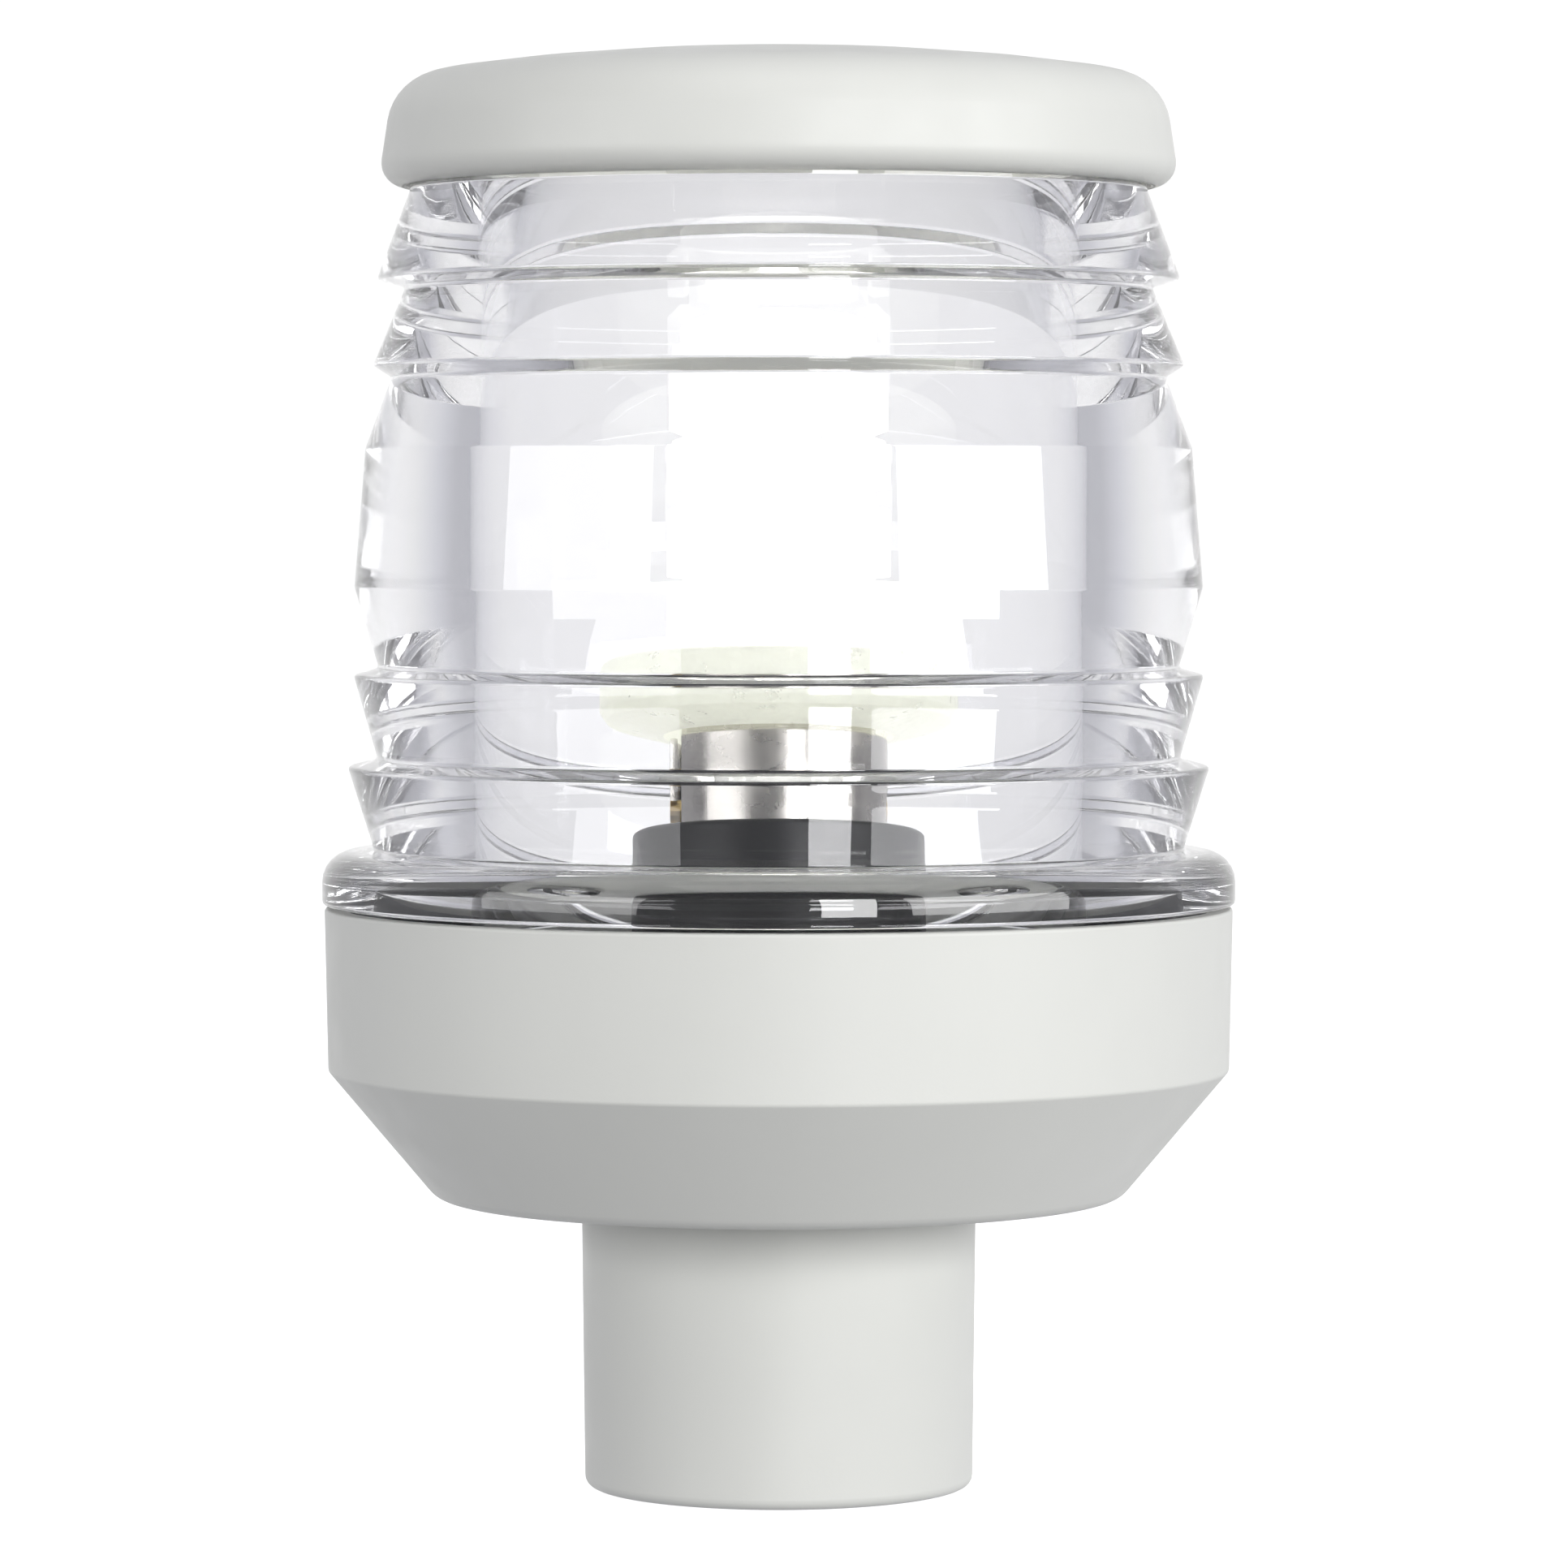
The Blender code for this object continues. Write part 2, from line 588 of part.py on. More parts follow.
def build_insulator():
    seat = FLOOR_Z + FLOOR_THICKNESS + GAP
    recess = SHELL_RADIUS + GAP
    points = [
        (0.0, RECESS_Z),
        (recess, RECESS_Z),
        (recess, INSULATOR_TOP_Z),
        (INSULATOR_RADIUS - RIM_EDGE, INSULATOR_TOP_Z),
        (INSULATOR_RADIUS, INSULATOR_TOP_Z - RIM_EDGE),
        (INSULATOR_RADIUS, seat),
        (HUB_RADIUS, seat),
        (HUB_RADIUS, HUB_BOTTOM_Z),
        (0.0, HUB_BOTTOM_Z),
    ]
    insulator = turned_part("holder_insulator", points, "black_phenolic", ring=False, steps=SMALL_STEPS)
    bore = cylinder_mesh("plunger_bore", PLUNGER_BORE_RADIUS, HUB_BOTTOM_Z - GAP, RECESS_Z + GAP)
    tapped = cylinder_mesh("terminal_hole", SCREW_RADIUS + GAP, HUB_BOTTOM_Z - GAP,
                           HUB_BOTTOM_Z + TERMINAL_SCREW_LENGTH)
    for number, side in enumerate((1, -1), 1):
        place = (0.0, side * CONTACT_OFFSET, 0.0)
        boolean(insulator, add_cutter(f"plunger_bore_{number}", bore, location=place), "DIFFERENCE")
        place = (0.0, side * TERMINAL_SCREW_Y, 0.0)
        boolean(insulator, add_cutter(f"terminal_hole_{number}", tapped, location=place), "DIFFERENCE")


def build_ring_nut():
    top = FLOOR_Z - GAP
    hexagon = cylinder_mesh("ring_nut", NUT_CORNER_RADIUS, top - NUT_HEIGHT, top, steps=6)
    nut = add_part("holder_ring_nut", hexagon, "nickel_plate")
    bore = cylinder_mesh("nut_bore", HUB_RADIUS + GAP, top - NUT_HEIGHT - GAP, top + GAP, steps=SMALL_STEPS)
    boolean(nut, add_cutter("nut_bore", bore), "DIFFERENCE")


def build_holder_shell():
    """The bayonet shell with its two J-shaped slots, the hook of each at 0 and 180 degrees."""
    bottom = RECESS_Z + GAP
    points = [(SHELL_RADIUS, SHELL_TOP_Z), (SHELL_RADIUS, bottom), (SHELL_BORE_RADIUS, bottom),
              (SHELL_BORE_RADIUS, SHELL_TOP_Z)]
    shell = turned_part("holder_shell", points, "nickel_plate", steps=SMALL_STEPS)
    span = BAYONET_TURN + 2 * SLOT_HALF_ANGLE
    fall = BAYONET_DROP * span / BAYONET_TURN
    hook_top = PIN_Z + BAYONET_DROP * SLOT_HALF_ANGLE / BAYONET_TURN
    inner, outer = SHELL_BORE_RADIUS - ROOT_DEPTH, SHELL_RADIUS + ROOT_DEPTH
    channel_foot = PIN_Z - BAYONET_DROP - SLOT_HALF_HEIGHT
    for number, facing in enumerate((0.0, 180.0), 1):
        slant = bent_bar_mesh("slant", inner, outer, hook_top - SLOT_HALF_HEIGHT, 2 * SLOT_HALF_HEIGHT,
                              facing - SLOT_HALF_ANGLE, span, -fall)
        boolean(shell, add_cutter(f"slot_slant_{number}", slant), "DIFFERENCE")
        channel = bent_bar_mesh("channel", inner, outer, channel_foot,
                                SHELL_TOP_Z + ROOT_DEPTH - channel_foot,
                                facing + BAYONET_TURN - SLOT_HALF_ANGLE, 2 * SLOT_HALF_ANGLE, 0.0, segments=4)
        boolean(shell, add_cutter(f"slot_channel_{number}", channel), "DIFFERENCE")


def build_plungers(drop_axis):
    points = [
        (0.0, PLUNGER_TOP_Z - PIN_Z),
        (PLUNGER_RADIUS - PLUNGER_NOSE, PLUNGER_TOP_Z - PIN_Z),
        (PLUNGER_RADIUS, PLUNGER_TOP_Z - PIN_Z - PLUNGER_NOSE),
        (PLUNGER_RADIUS, PLUNGER_BOTTOM_Z - PIN_Z),
        (0.0, PLUNGER_BOTTOM_Z - PIN_Z),
    ]
    for number, side in enumerate((1, -1), 1):
        turned_part(f"contact_plunger_{number}", points, "brass", ring=False, steps=FINE_STEPS,
                    parent=drop_axis, location=(0.0, side * CONTACT_OFFSET, 0.0))


def build_springs():
    """Compression springs, each between a terminal's stud and its plunger."""
    count = SPRING_TURNS * SPRING_POINTS_PER_TURN + 1
    low = SPRING_BOTTOM_Z + SPRING_WIRE
    high = PLUNGER_BOTTOM_Z - GAP - SPRING_WIRE
    for number, side in enumerate((1, -1), 1):
        curve = bpy.data.curves.new(f"contact_spring_{number}", "CURVE")
        curve.dimensions = "3D"
        curve.bevel_depth = SPRING_WIRE
        curve.bevel_resolution = SPRING_WIRE_SIDES
        curve.use_fill_caps = True
        spline = curve.splines.new("POLY")
        spline.points.add(count - 1)
        for i, point in enumerate(spline.points):
            angle = 2 * pi * i / SPRING_POINTS_PER_TURN
            height = low + (high - low) * i / (count - 1)
            point.co = (SPRING_RADIUS * cos(angle), SPRING_RADIUS * sin(angle), height, 1.0)
        add_part(f"contact_spring_{number}", curve, "stainless_steel",
                 location=(0.0, side * CONTACT_OFFSET, 0.0))


def build_terminals():
    """Angle plates under the hub: a stud into the plunger's bore, a screw hole and a push-on tab."""
    top = HUB_BOTTOM_Z - GAP
    bottom = top - TERMINAL_THICKNESS
    outline = [
        (TERMINAL_INNER_Y, bottom),
        (TERMINAL_OUTER_Y - TERMINAL_THICKNESS, bottom),
        (TERMINAL_OUTER_Y - TERMINAL_THICKNESS, top - TERMINAL_TAB_LENGTH),
        (TERMINAL_OUTER_Y, top - TERMINAL_TAB_LENGTH),
        (TERMINAL_OUTER_Y, top),
        (TERMINAL_INNER_Y, top),
    ]
    screw = screw_mesh(TERMINAL_SCREW_LENGTH)
    stud = cylinder_mesh("stud", STUD_RADIUS, top - GAP, SPRING_BOTTOM_Z - GAP)
    hole = cylinder_mesh("tab_hole", SCREW_RADIUS + GAP, bottom - GAP, top + GAP)
    plate = outline_mesh("terminal", outline, TERMINAL_WIDTH)
    for number, facing in enumerate((pi / 2, -pi / 2), 1):
        side = 1 if facing > 0 else -1
        terminal = add_part(f"terminal_{number}", plate, "brass", rotation=(pi / 2, 0.0, facing))
        place = (0.0, side * CONTACT_OFFSET, 0.0)
        boolean(terminal, add_cutter(f"stud_{number}", stud, location=place), "UNION")
        place = (0.0, side * TERMINAL_SCREW_Y, 0.0)
        boolean(terminal, add_cutter(f"tab_hole_{number}", hole, location=place), "DIFFERENCE")
        add_part(f"terminal_screw_{number}", screw, "stainless_steel",
                 rotation=(pi, 0.0, TERMINAL_SCREW_TURN * side),
                 location=(0.0, side * TERMINAL_SCREW_Y, bottom - GAP))


# ---- LED bulb ----------------------------------------------------------------------------------


def build_bulb_base(bulb_axis):
    top, bottom = BASE_TOP_Z - PIN_Z, BASE_BOTTOM_Z - PIN_Z
    bore = BASE_RADIUS - BASE_WALL
    points = [(BASE_RADIUS, top), (BASE_RADIUS, bottom), (bore, bottom), (bore, top)]
    shell = turned_part("bulb_base_shell", points, "nickel_plate", steps=SMALL_STEPS, parent=bulb_axis)
    hole = cylinder_mesh("pin_hole", PIN_RADIUS + GAP, PIN_ROOT, PIN_REACH)
    pin = cylinder_mesh("bulb_pin", PIN_RADIUS, PIN_ROOT, PIN_REACH)
    for number, facing in enumerate((pi / 2, -pi / 2), 1):
        turn = (0.0, facing, 0.0)
        boolean(shell, add_cutter(f"pin_hole_{number}", hole, parent=bulb_axis, rotation=turn), "DIFFERENCE")
        add_part(f"bulb_pin_{number}", pin, "brass", parent=bulb_axis, rotation=turn)
    insulator = cylinder_mesh("bulb_base_insulator", bore - GAP, bottom, BASE_INSULATOR_TOP_Z - PIN_Z,
                              steps=SMALL_STEPS)
    add_part("bulb_base_insulator", insulator, "black_phenolic", parent=bulb_axis)
    contact = cylinder_mesh("bulb_contact", BULB_CONTACT_RADIUS, PLUNGER_TOP_Z + GAP - PIN_Z, bottom - GAP)
    for number, side in enumerate((1, -1), 1):
        add_part(f"bulb_contact_{number}", contact, "brass", parent=bulb_axis,
                 location=(0.0, side * CONTACT_OFFSET, 0.0))


def build_bulb_disc(bulb_axis):
    ceiling = BASE_TOP_Z + GAP
    points = [
        (0.0, DISC_TOP_Z),
        (DISC_RADIUS - DISC_EDGE, DISC_TOP_Z),
        (DISC_RADIUS, DISC_TOP_Z - DISC_EDGE),
        (DISC_RADIUS, DISC_RIM_Z),
        (DISC_RADIUS - DISC_EDGE, DISC_UNDERSIDE_Z),
        (DISC_RECESS_RADIUS + DISC_EDGE, DISC_SKIRT_Z),
        (DISC_RECESS_RADIUS, DISC_SKIRT_Z),
        (DISC_RECESS_RADIUS, ceiling),
        (0.0, ceiling),
    ]
    turned_part("bulb_disc", [(radius, height - PIN_Z) for radius, height in points], "milky_plastic",
                ring=False, steps=SMALL_STEPS, parent=bulb_axis)


def build_led_tower(bulb_axis):
    """Six boards round a hexagon, two chips on each, closed by a round board on top."""
    middle = LIGHT_CENTRE_Z - PIN_Z
    board_foot, board_head = middle - BOARD_HEIGHT / 2, middle + BOARD_HEIGHT / 2
    board = box_mesh("led_board", (BOARD_APOTHEM - BOARD_THICKNESS, -BOARD_WIDTH / 2, board_foot),
                     (BOARD_APOTHEM, BOARD_WIDTH / 2, board_head))
    face = BOARD_APOTHEM + GAP
    half = CHIP_SIZE / 2
    chip = box_mesh("led_chip", (face, -half, -half), (face + CHIP_THICKNESS, half, half))
    rows = (middle - CHIP_PITCH / 2, middle + CHIP_PITCH / 2)
    for number in range(BOARD_COUNT):
        turn = (0.0, 0.0, 2 * pi * (number + 0.5) / BOARD_COUNT)
        add_part(f"led_board_{number + 1}", board, "board_white", parent=bulb_axis, rotation=turn)
        for row, height in enumerate(rows, 1):
            add_part(f"led_chip_{number + 1}_{row}", chip, "phosphor_yellow", parent=bulb_axis,
                     location=(0.0, 0.0, height), rotation=turn)
    low = board_head + GAP
    high = low + TOP_BOARD_THICKNESS
    points = [(TOP_BOARD_RADIUS, high), (TOP_BOARD_RADIUS, low), (TOP_BOARD_HOLE, low),
              (TOP_BOARD_HOLE, high)]
    turned_part("led_top_board", points, "board_white", steps=SMALL_STEPS, parent=bulb_axis)


def main():
    lift_axis = add_axis("lens_lift_axis", LENS_Z)
    turn_axis = add_axis("lens_turn_axis", 0.0, lift_axis)
    drop_axis = add_axis("bulb_drop_axis", PIN_Z)
    bulb_axis = add_axis("bulb_turn_axis", 0.0, drop_axis)
    build_housing()
    build_seal(lift_axis)
    build_lens(turn_axis)
    build_cap(turn_axis)
    build_lamp_floor()
    build_insulator()
    build_ring_nut()
    build_holder_shell()
    build_springs()
    build_terminals()
    build_plungers(drop_axis)
    build_bulb_base(bulb_axis)
    build_bulb_disc(bulb_axis)
    build_led_tower(bulb_axis)


main()
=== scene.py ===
"""All-round navigation light: the detailed pieces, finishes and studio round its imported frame.

Metres, +Z up, Z is the axis of the light. Run as a script; the panel lists the same steps.
"""

from math import atan2, cos, pi, radians, sin, tan

import bmesh
import bpy
from mathutils import Matrix, Vector


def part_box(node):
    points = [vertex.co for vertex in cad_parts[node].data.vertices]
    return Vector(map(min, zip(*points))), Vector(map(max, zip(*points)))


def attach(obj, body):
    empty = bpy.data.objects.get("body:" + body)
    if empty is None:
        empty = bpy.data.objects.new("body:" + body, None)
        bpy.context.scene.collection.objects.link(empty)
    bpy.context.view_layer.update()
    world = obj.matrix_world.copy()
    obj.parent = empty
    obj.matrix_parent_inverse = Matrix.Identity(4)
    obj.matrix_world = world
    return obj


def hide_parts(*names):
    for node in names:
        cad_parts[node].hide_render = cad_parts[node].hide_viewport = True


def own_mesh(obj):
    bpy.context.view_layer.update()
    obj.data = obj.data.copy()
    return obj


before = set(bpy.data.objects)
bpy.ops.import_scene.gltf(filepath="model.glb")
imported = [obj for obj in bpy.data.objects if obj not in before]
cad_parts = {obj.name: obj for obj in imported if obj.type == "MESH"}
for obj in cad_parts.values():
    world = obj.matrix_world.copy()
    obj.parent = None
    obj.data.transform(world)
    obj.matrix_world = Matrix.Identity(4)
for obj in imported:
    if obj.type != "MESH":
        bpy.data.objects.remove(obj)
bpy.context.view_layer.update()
BOX = {name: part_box(name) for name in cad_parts}

bl_info = {
    "name": "Navigation light",
    "version": (1, 0, 0),
    "blender": (4, 5, 0),
    "location": "3D View > Sidebar > Navigation light",
    "description": "Builds the pieces, finishes and studio of an all-round navigation light",
    "category": "Object",
}

MM = 0.001
WELD = 0.002 * MM
SMOOTH_ANGLE = radians(32.0)
STEPS = 192
LENS_STEPS = 256
SMALL_STEPS = 64

# Clearance between pieces, and the places that two pieces share
GAP = 0.3 * MM
POST_CIRCLE = 18.0 * MM
POST_ANGLES = (90.0, 210.0, 330.0)
THREAD_ANGLES = (30.0, 150.0, 270.0)
THREAD_HEIGHT = 1.8 * MM
FLOOR_SCREW_LENGTH = 10.0 * MM
SCREW_HOLE = 1.5 * MM
SCREW_HEAD = 1.8 * MM
CONTACT_OFFSET = 3.5 * MM
TERMINAL_SCREW_OFFSET = 7.2 * MM


def low(node, axis=2):
    """The lowest coordinate of the CAD node along an axis, Z unless said."""
    return BOX[node][0][axis]


def high(node, axis=2):
    return BOX[node][1][axis]


def around_axis(angle, radius):
    """The point (x, y) at that angle in degrees and that radius."""
    return radius * cos(radians(angle)), radius * sin(radians(angle))


# ---- Settings ----------------------------------------------------------------------------------


def size(name, description, default, **more):
    return bpy.props.FloatProperty(name=name, description=description, default=default, subtype="DISTANCE",
                                   unit="LENGTH", precision=5, **more)


def colour(name, description, default):
    return bpy.props.FloatVectorProperty(name=name, description=description, default=default, size=3,
                                         subtype="COLOR", min=0.0, max=1.0)


class NavlightSizes(bpy.types.PropertyGroup):
    """Sizes of the light's pieces, which start from the frame"""

    cup_radius: size("Cup radius", "Outside of the housing's cup at its corner", 34.2 * MM)
    shank_radius: size("Shank radius", "Outside of the shank under the housing", 15.0 * MM)
    pole_bore: size("Pole bore", "Radius of the bore that takes the pole", 12.7 * MM)
    flange_round: size("Flange rounding", "Shoulder radius of the lens's flange", 2.3 * MM)
    prism_round: size("Prism rounding", "Radius along each prism's tip and root", 0.28 * MM)
    cap_shoulder: size("Cap shoulder", "Radius between the cap's side and its dome", 4.3 * MM)
    shell_wall: size("Holder wall", "Sheet thickness of the lamp holder's shell", 0.55 * MM)
    chip_window: size("Chip window", "Width of the yellow window in each LED", 4.0 * MM)


class NavlightFinishes(bpy.types.PropertyGroup):
    """Colours and finishes of the light"""

    plastic: colour("White plastic", "Housing, cap and lamp floor", (0.79, 0.797, 0.757))
    lens: colour("Clear plastic", "Tint of the lens", (0.985, 0.985, 1.0))
    black: colour("Black moulding", "Insulators of holder and bulb", (0.004, 0.0045, 0.005))
    nickel: colour("Nickel", "Lamp holder and bulb base", (0.62, 0.60, 0.56))
    brass: colour("Brass", "Terminals, pins and contacts", (0.72, 0.53, 0.26))
    steel: colour("Stainless steel", "Screws and springs", (0.60, 0.60, 0.60))
    rubber: colour("Rubber", "Seal ring", (0.02, 0.02, 0.02))
    milky: colour("Milky plastic", "Disc under the LEDs", (0.80, 0.83, 0.76))
    board: colour("Board", "White solder mask of the LED boards", (0.86, 0.87, 0.85))
    phosphor: colour("Phosphor", "Window of each LED", (0.90, 0.62, 0.12))
    # glow colours the phosphor's real light and also the painted glow of the boards and LED packages
    glow: colour("Glow", "Colour of the lit LEDs", (1.0, 0.985, 0.95))
    glow_strength: bpy.props.FloatProperty(name="Glow strength", description="How bright the LEDs are lit",
                                           default=90.0, min=0.0)


class NavlightStudio(bpy.types.PropertyGroup):
    """Camera and lights"""

    distance: size("Camera distance", "From the camera to the light's axis", 0.524)
    height: size("Camera height", "Height of the camera over the floor", 0.0744)
    aim: size("Aim height", "Height on the axis that the camera looks at", 0.0534)
    offset: size("Camera offset", "How far the camera stands to the right", 0.0004)
    focal: bpy.props.FloatProperty(name="Focal length", description="Lens of the camera, in mm", default=158.5,
                                   min=1.0, subtype="DISTANCE_CAMERA")
    lights: bpy.props.FloatProperty(name="Lights", description="Brightness of the soft lights together",
                                    default=1.0, min=0.0)
    backdrop: bpy.props.FloatProperty(name="Backdrop", description="Brightness of the white backdrop",
                                      default=1.05, min=0.0)
    bounces: bpy.props.IntProperty(name="Light bounces", description="How often light passes the clear prisms",
                                   default=48, min=4)
    front: bpy.props.FloatProperty(name="Room", description="Brightness of the room behind the camera",
                                   default=0.19, min=0.0)
    behind: bpy.props.FloatProperty(name="Behind", description="Brightness behind the light that its clear lens shows",
                                    default=1.0, min=0.0)
    sides: bpy.props.FloatProperty(name="Sides", description="Brightness of the room at the sides",
                                   default=0.52, min=0.0)
    under: bpy.props.FloatProperty(name="Underside", description="Share of the room's light that comes from below",
                                   default=1.0, min=0.0, max=1.0)
    side_tint: colour("Side tint", "Tint of the room at the sides", (0.93, 0.935, 1.0))


# ---- Finishes ----------------------------------------------------------------------------------


def add_node(material, kind, links=None, **settings):
    """A node with its settings, and its inputs linked to sockets or set to values."""
    made = material.node_tree.nodes.new(kind)
    for key, value in settings.items():
        setattr(made, key, value)
    for key, value in (links or {}).items():
        if isinstance(value, bpy.types.NodeSocket):
            material.node_tree.links.new(value, made.inputs[key])
        else:
            made.inputs[key].default_value = value
    return made


def new_finish(name, **sockets):
    material = bpy.data.materials.new(name)
    material.use_nodes = True
    shader = material.node_tree.nodes["Principled BSDF"]
    for key, value in sockets.items():
        shader.inputs[key.replace("_", " ")].default_value = value
    return material, shader


def place_of(material, scale=(1.0, 1.0, 1.0)):
    """The point on the object, stretched for patterns that run one way."""
    coordinates = add_node(material, "ShaderNodeTexCoord")
    mapping = add_node(material, "ShaderNodeMapping", {"Vector": coordinates.outputs["Object"], "Scale": scale})
    return mapping.outputs["Vector"]


def grain(material, place, scale, detail=4.0, roughness=0.55):
    noise = add_node(material, "ShaderNodeTexNoise",
                     {"Vector": place, "Scale": scale, "Detail": detail, "Roughness": roughness})
    return noise.outputs["Fac"]


def spread(material, value, least, most, start=0.3, end=0.7):
    """A value from 0 to 1 turned into one from least to most."""
    ranged = add_node(material, "ShaderNodeMapRange", {"Value": value, "From Min": start, "From Max": end,
                                                       "To Min": least, "To Max": most})
    return ranged.outputs["Result"]


def tinted(material, value, dark, light):
    """A colour between two, by the value."""
    ramp = add_node(material, "ShaderNodeValToRGB", {"Fac": value})
    ramp.color_ramp.elements[0].position = 0.3
    ramp.color_ramp.elements[1].position = 0.7
    ramp.color_ramp.elements[0].color = (*dark, 1.0)
    ramp.color_ramp.elements[1].color = (*light, 1.0)
    return ramp.outputs["Color"]


def bumped(material, shader, layers):
    """Bump nodes in a row, each a (height, distance, strength)."""
    normal = None
    for height, distance, strength in layers:
        links = {"Height": height, "Distance": distance, "Strength": strength}
        if normal is not None:
            links["Normal"] = normal
        normal = add_node(material, "ShaderNodeBump", links).outputs["Normal"]
    material.node_tree.links.new(normal, shader.inputs["Normal"])


def linked(material, shader, socket, value):
    material.node_tree.links.new(value, shader.inputs[socket])


def scaled(tint, factor):
    return tuple(min(1.0, channel * factor) for channel in tint)


def white_plastic(finishes):
    """Satin moulded ABS: a fine pebble, faint flow clouds and a roughness that wanders."""
    material, shader = new_finish("white_plastic", Roughness=0.42, IOR=1.5)
    place = place_of(material)
    flow = place_of(material, (1.0, 1.0, 0.35))
    clouds = grain(material, flow, 55.0, 5.0)
    pebble = grain(material, place, 2600.0, 2.0)
    linked(material, shader, "Base Color",
           tinted(material, clouds, scaled(finishes.plastic, 0.975), scaled(finishes.plastic, 1.01)))
    linked(material, shader, "Roughness", spread(material, grain(material, place, 320.0), 0.36, 0.50))
    bumped(material, shader, [(pebble, 0.02 * MM, 0.35), (clouds, 0.12 * MM, 0.25)])
    return material


def clear_plastic(finishes):
    """Clear polycarbonate with the faint waves of the mould and a few fine scratches."""
    material, shader = new_finish("clear_plastic", Roughness=0.0, IOR=1.585, Transmission_Weight=0.988,
                                  Base_Color=(*finishes.lens, 1.0))
    waves = grain(material, place_of(material, (1.0, 1.0, 0.5)), 130.0, 2.0)
    scratches = grain(material, place_of(material, (2.0, 2.0, 40.0)), 60.0, 3.0)
    linked(material, shader, "Roughness", spread(material, scratches, 0.0, 0.035, 0.62, 0.80))
    bumped(material, shader, [(waves, 0.05 * MM, 0.12)])
    return material


def black_moulding(finishes):
    material, shader = new_finish("black_moulding", IOR=1.45)
    place = place_of(material)
    dust = grain(material, place, 2400.0, 3.0, 0.75)
    linked(material, shader, "Base Color",
           tinted(material, spread(material, dust, 0.0, 1.0, 0.55, 0.8), finishes.black, (0.025, 0.025, 0.025)))
    linked(material, shader, "Roughness", spread(material, grain(material, place, 400.0), 0.30, 0.48))
    bumped(material, shader, [(grain(material, place, 1500.0), 0.03 * MM, 0.4)])
    return material


def drawn_metal(name, tint, least, most, along=30.0):
    """Sheet drawn along Z: fine lines down it, clouds of handling and scattered pits."""
    material, shader = new_finish(name, Metallic=1.0)
    lines = grain(material, place_of(material, (along, along, 1.0)), 90.0, 6.0, 0.7)
    place = place_of(material)
    clouds = grain(material, place, 260.0, 5.0, 0.65)
    pits = grain(material, place, 2600.0, 1.0)
    linked(material, shader, "Base Color", tinted(material, clouds, scaled(tint, 0.86), scaled(tint, 1.05)))
    linked(material, shader, "Roughness", spread(material, clouds, least, most))
    bumped(material, shader, [(lines, 0.03 * MM, 0.2), (pits, 0.01 * MM, 0.2)])
    return material


def seal_rubber(finishes):
    material, shader = new_finish("seal_rubber", Roughness=0.6)
    place = place_of(material)
    bloom = grain(material, place, 500.0, 4.0)
    linked(material, shader, "Base Color", tinted(material, bloom, finishes.rubber, (0.045, 0.045, 0.045)))
    linked(material, shader, "Roughness", spread(material, bloom, 0.5, 0.72))
    bumped(material, shader, [(grain(material, place, 3000.0), 0.02 * MM, 0.4)])
    return material


def milky_plastic(finishes):
    """Translucent disc with a granular surface and a faint painted glow standing in for the LED light it scatters."""
    # painted glow: the emission brightens the disc, which is no lamp
    material, shader = new_finish("milky_plastic", IOR=1.49, Transmission_Weight=0.5,
                                  Emission_Color=(1.0, 0.97, 0.88, 1.0), Emission_Strength=0.26)
    place = place_of(material)
    crystals = add_node(material, "ShaderNodeTexVoronoi", {"Vector": place, "Scale": 1300.0}).outputs["Distance"]
    clouds = grain(material, place, 420.0, 5.0, 0.7)
    linked(material, shader, "Base Color",
           tinted(material, clouds, scaled(finishes.milky, 0.86), scaled(finishes.milky, 1.08)))
    linked(material, shader, "Roughness", spread(material, clouds, 0.22, 0.5))
    bumped(material, shader, [(crystals, 0.12 * MM, 0.5), (clouds, 0.1 * MM, 0.4)])
    return material


def board_painted_glow(finishes):
    """White solder mask round the LEDs, with a painted glow from emission standing in for their light."""
    # painted glow: the emission makes the board and the LED package bodies bright, though they are no lamps
    material, shader = new_finish("board_painted_glow", Emission_Strength=1.6, Emission_Color=(*finishes.glow, 1.0))
    place = place_of(material)
    mask = grain(material, place, 900.0, 3.0)
    linked(material, shader, "Base Color",
           tinted(material, mask, scaled(finishes.board, 0.94), finishes.board))
    linked(material, shader, "Roughness", spread(material, mask, 0.32, 0.5))
    bumped(material, shader, [(mask, 0.02 * MM, 0.3)])
    return material


def lit_phosphor(finishes):
    material, shader = new_finish("lit_phosphor", Emission_Strength=finishes.glow_strength,
                                  Emission_Color=(*finishes.glow, 1.0))
    place = place_of(material)
    powder = grain(material, place, 2800.0, 3.0)
    linked(material, shader, "Base Color",
           tinted(material, powder, scaled(finishes.phosphor, 0.85), finishes.phosphor))
    linked(material, shader, "Roughness", spread(material, powder, 0.25, 0.45))
    bumped(material, shader, [(powder, 0.02 * MM, 0.4)])
    return material


MAKERS = {
    "white_plastic": white_plastic,
    "clear_plastic": clear_plastic,
    "black_moulding": black_moulding,
    "nickel": lambda finishes: drawn_metal("nickel", finishes.nickel, 0.16, 0.34),
    "brass": lambda finishes: drawn_metal("brass", finishes.brass, 0.2, 0.42),
    "steel": lambda finishes: drawn_metal("steel", finishes.steel, 0.2, 0.36),
    "seal_rubber": seal_rubber,
    "milky_plastic": milky_plastic,
    "board_painted_glow": board_painted_glow,
    "lit_phosphor": lit_phosphor,
}


def finish(name):
    """The named finish, made when a piece first asks for it. The frame's own materials have other names."""
    full_name = f"{name}_finish"
    if full_name not in bpy.data.materials:
        MAKERS[name](bpy.context.scene.navlight_finishes).name = full_name
    return bpy.data.materials[full_name]


# ---- Modelling ---------------------------------------------------------------------------------


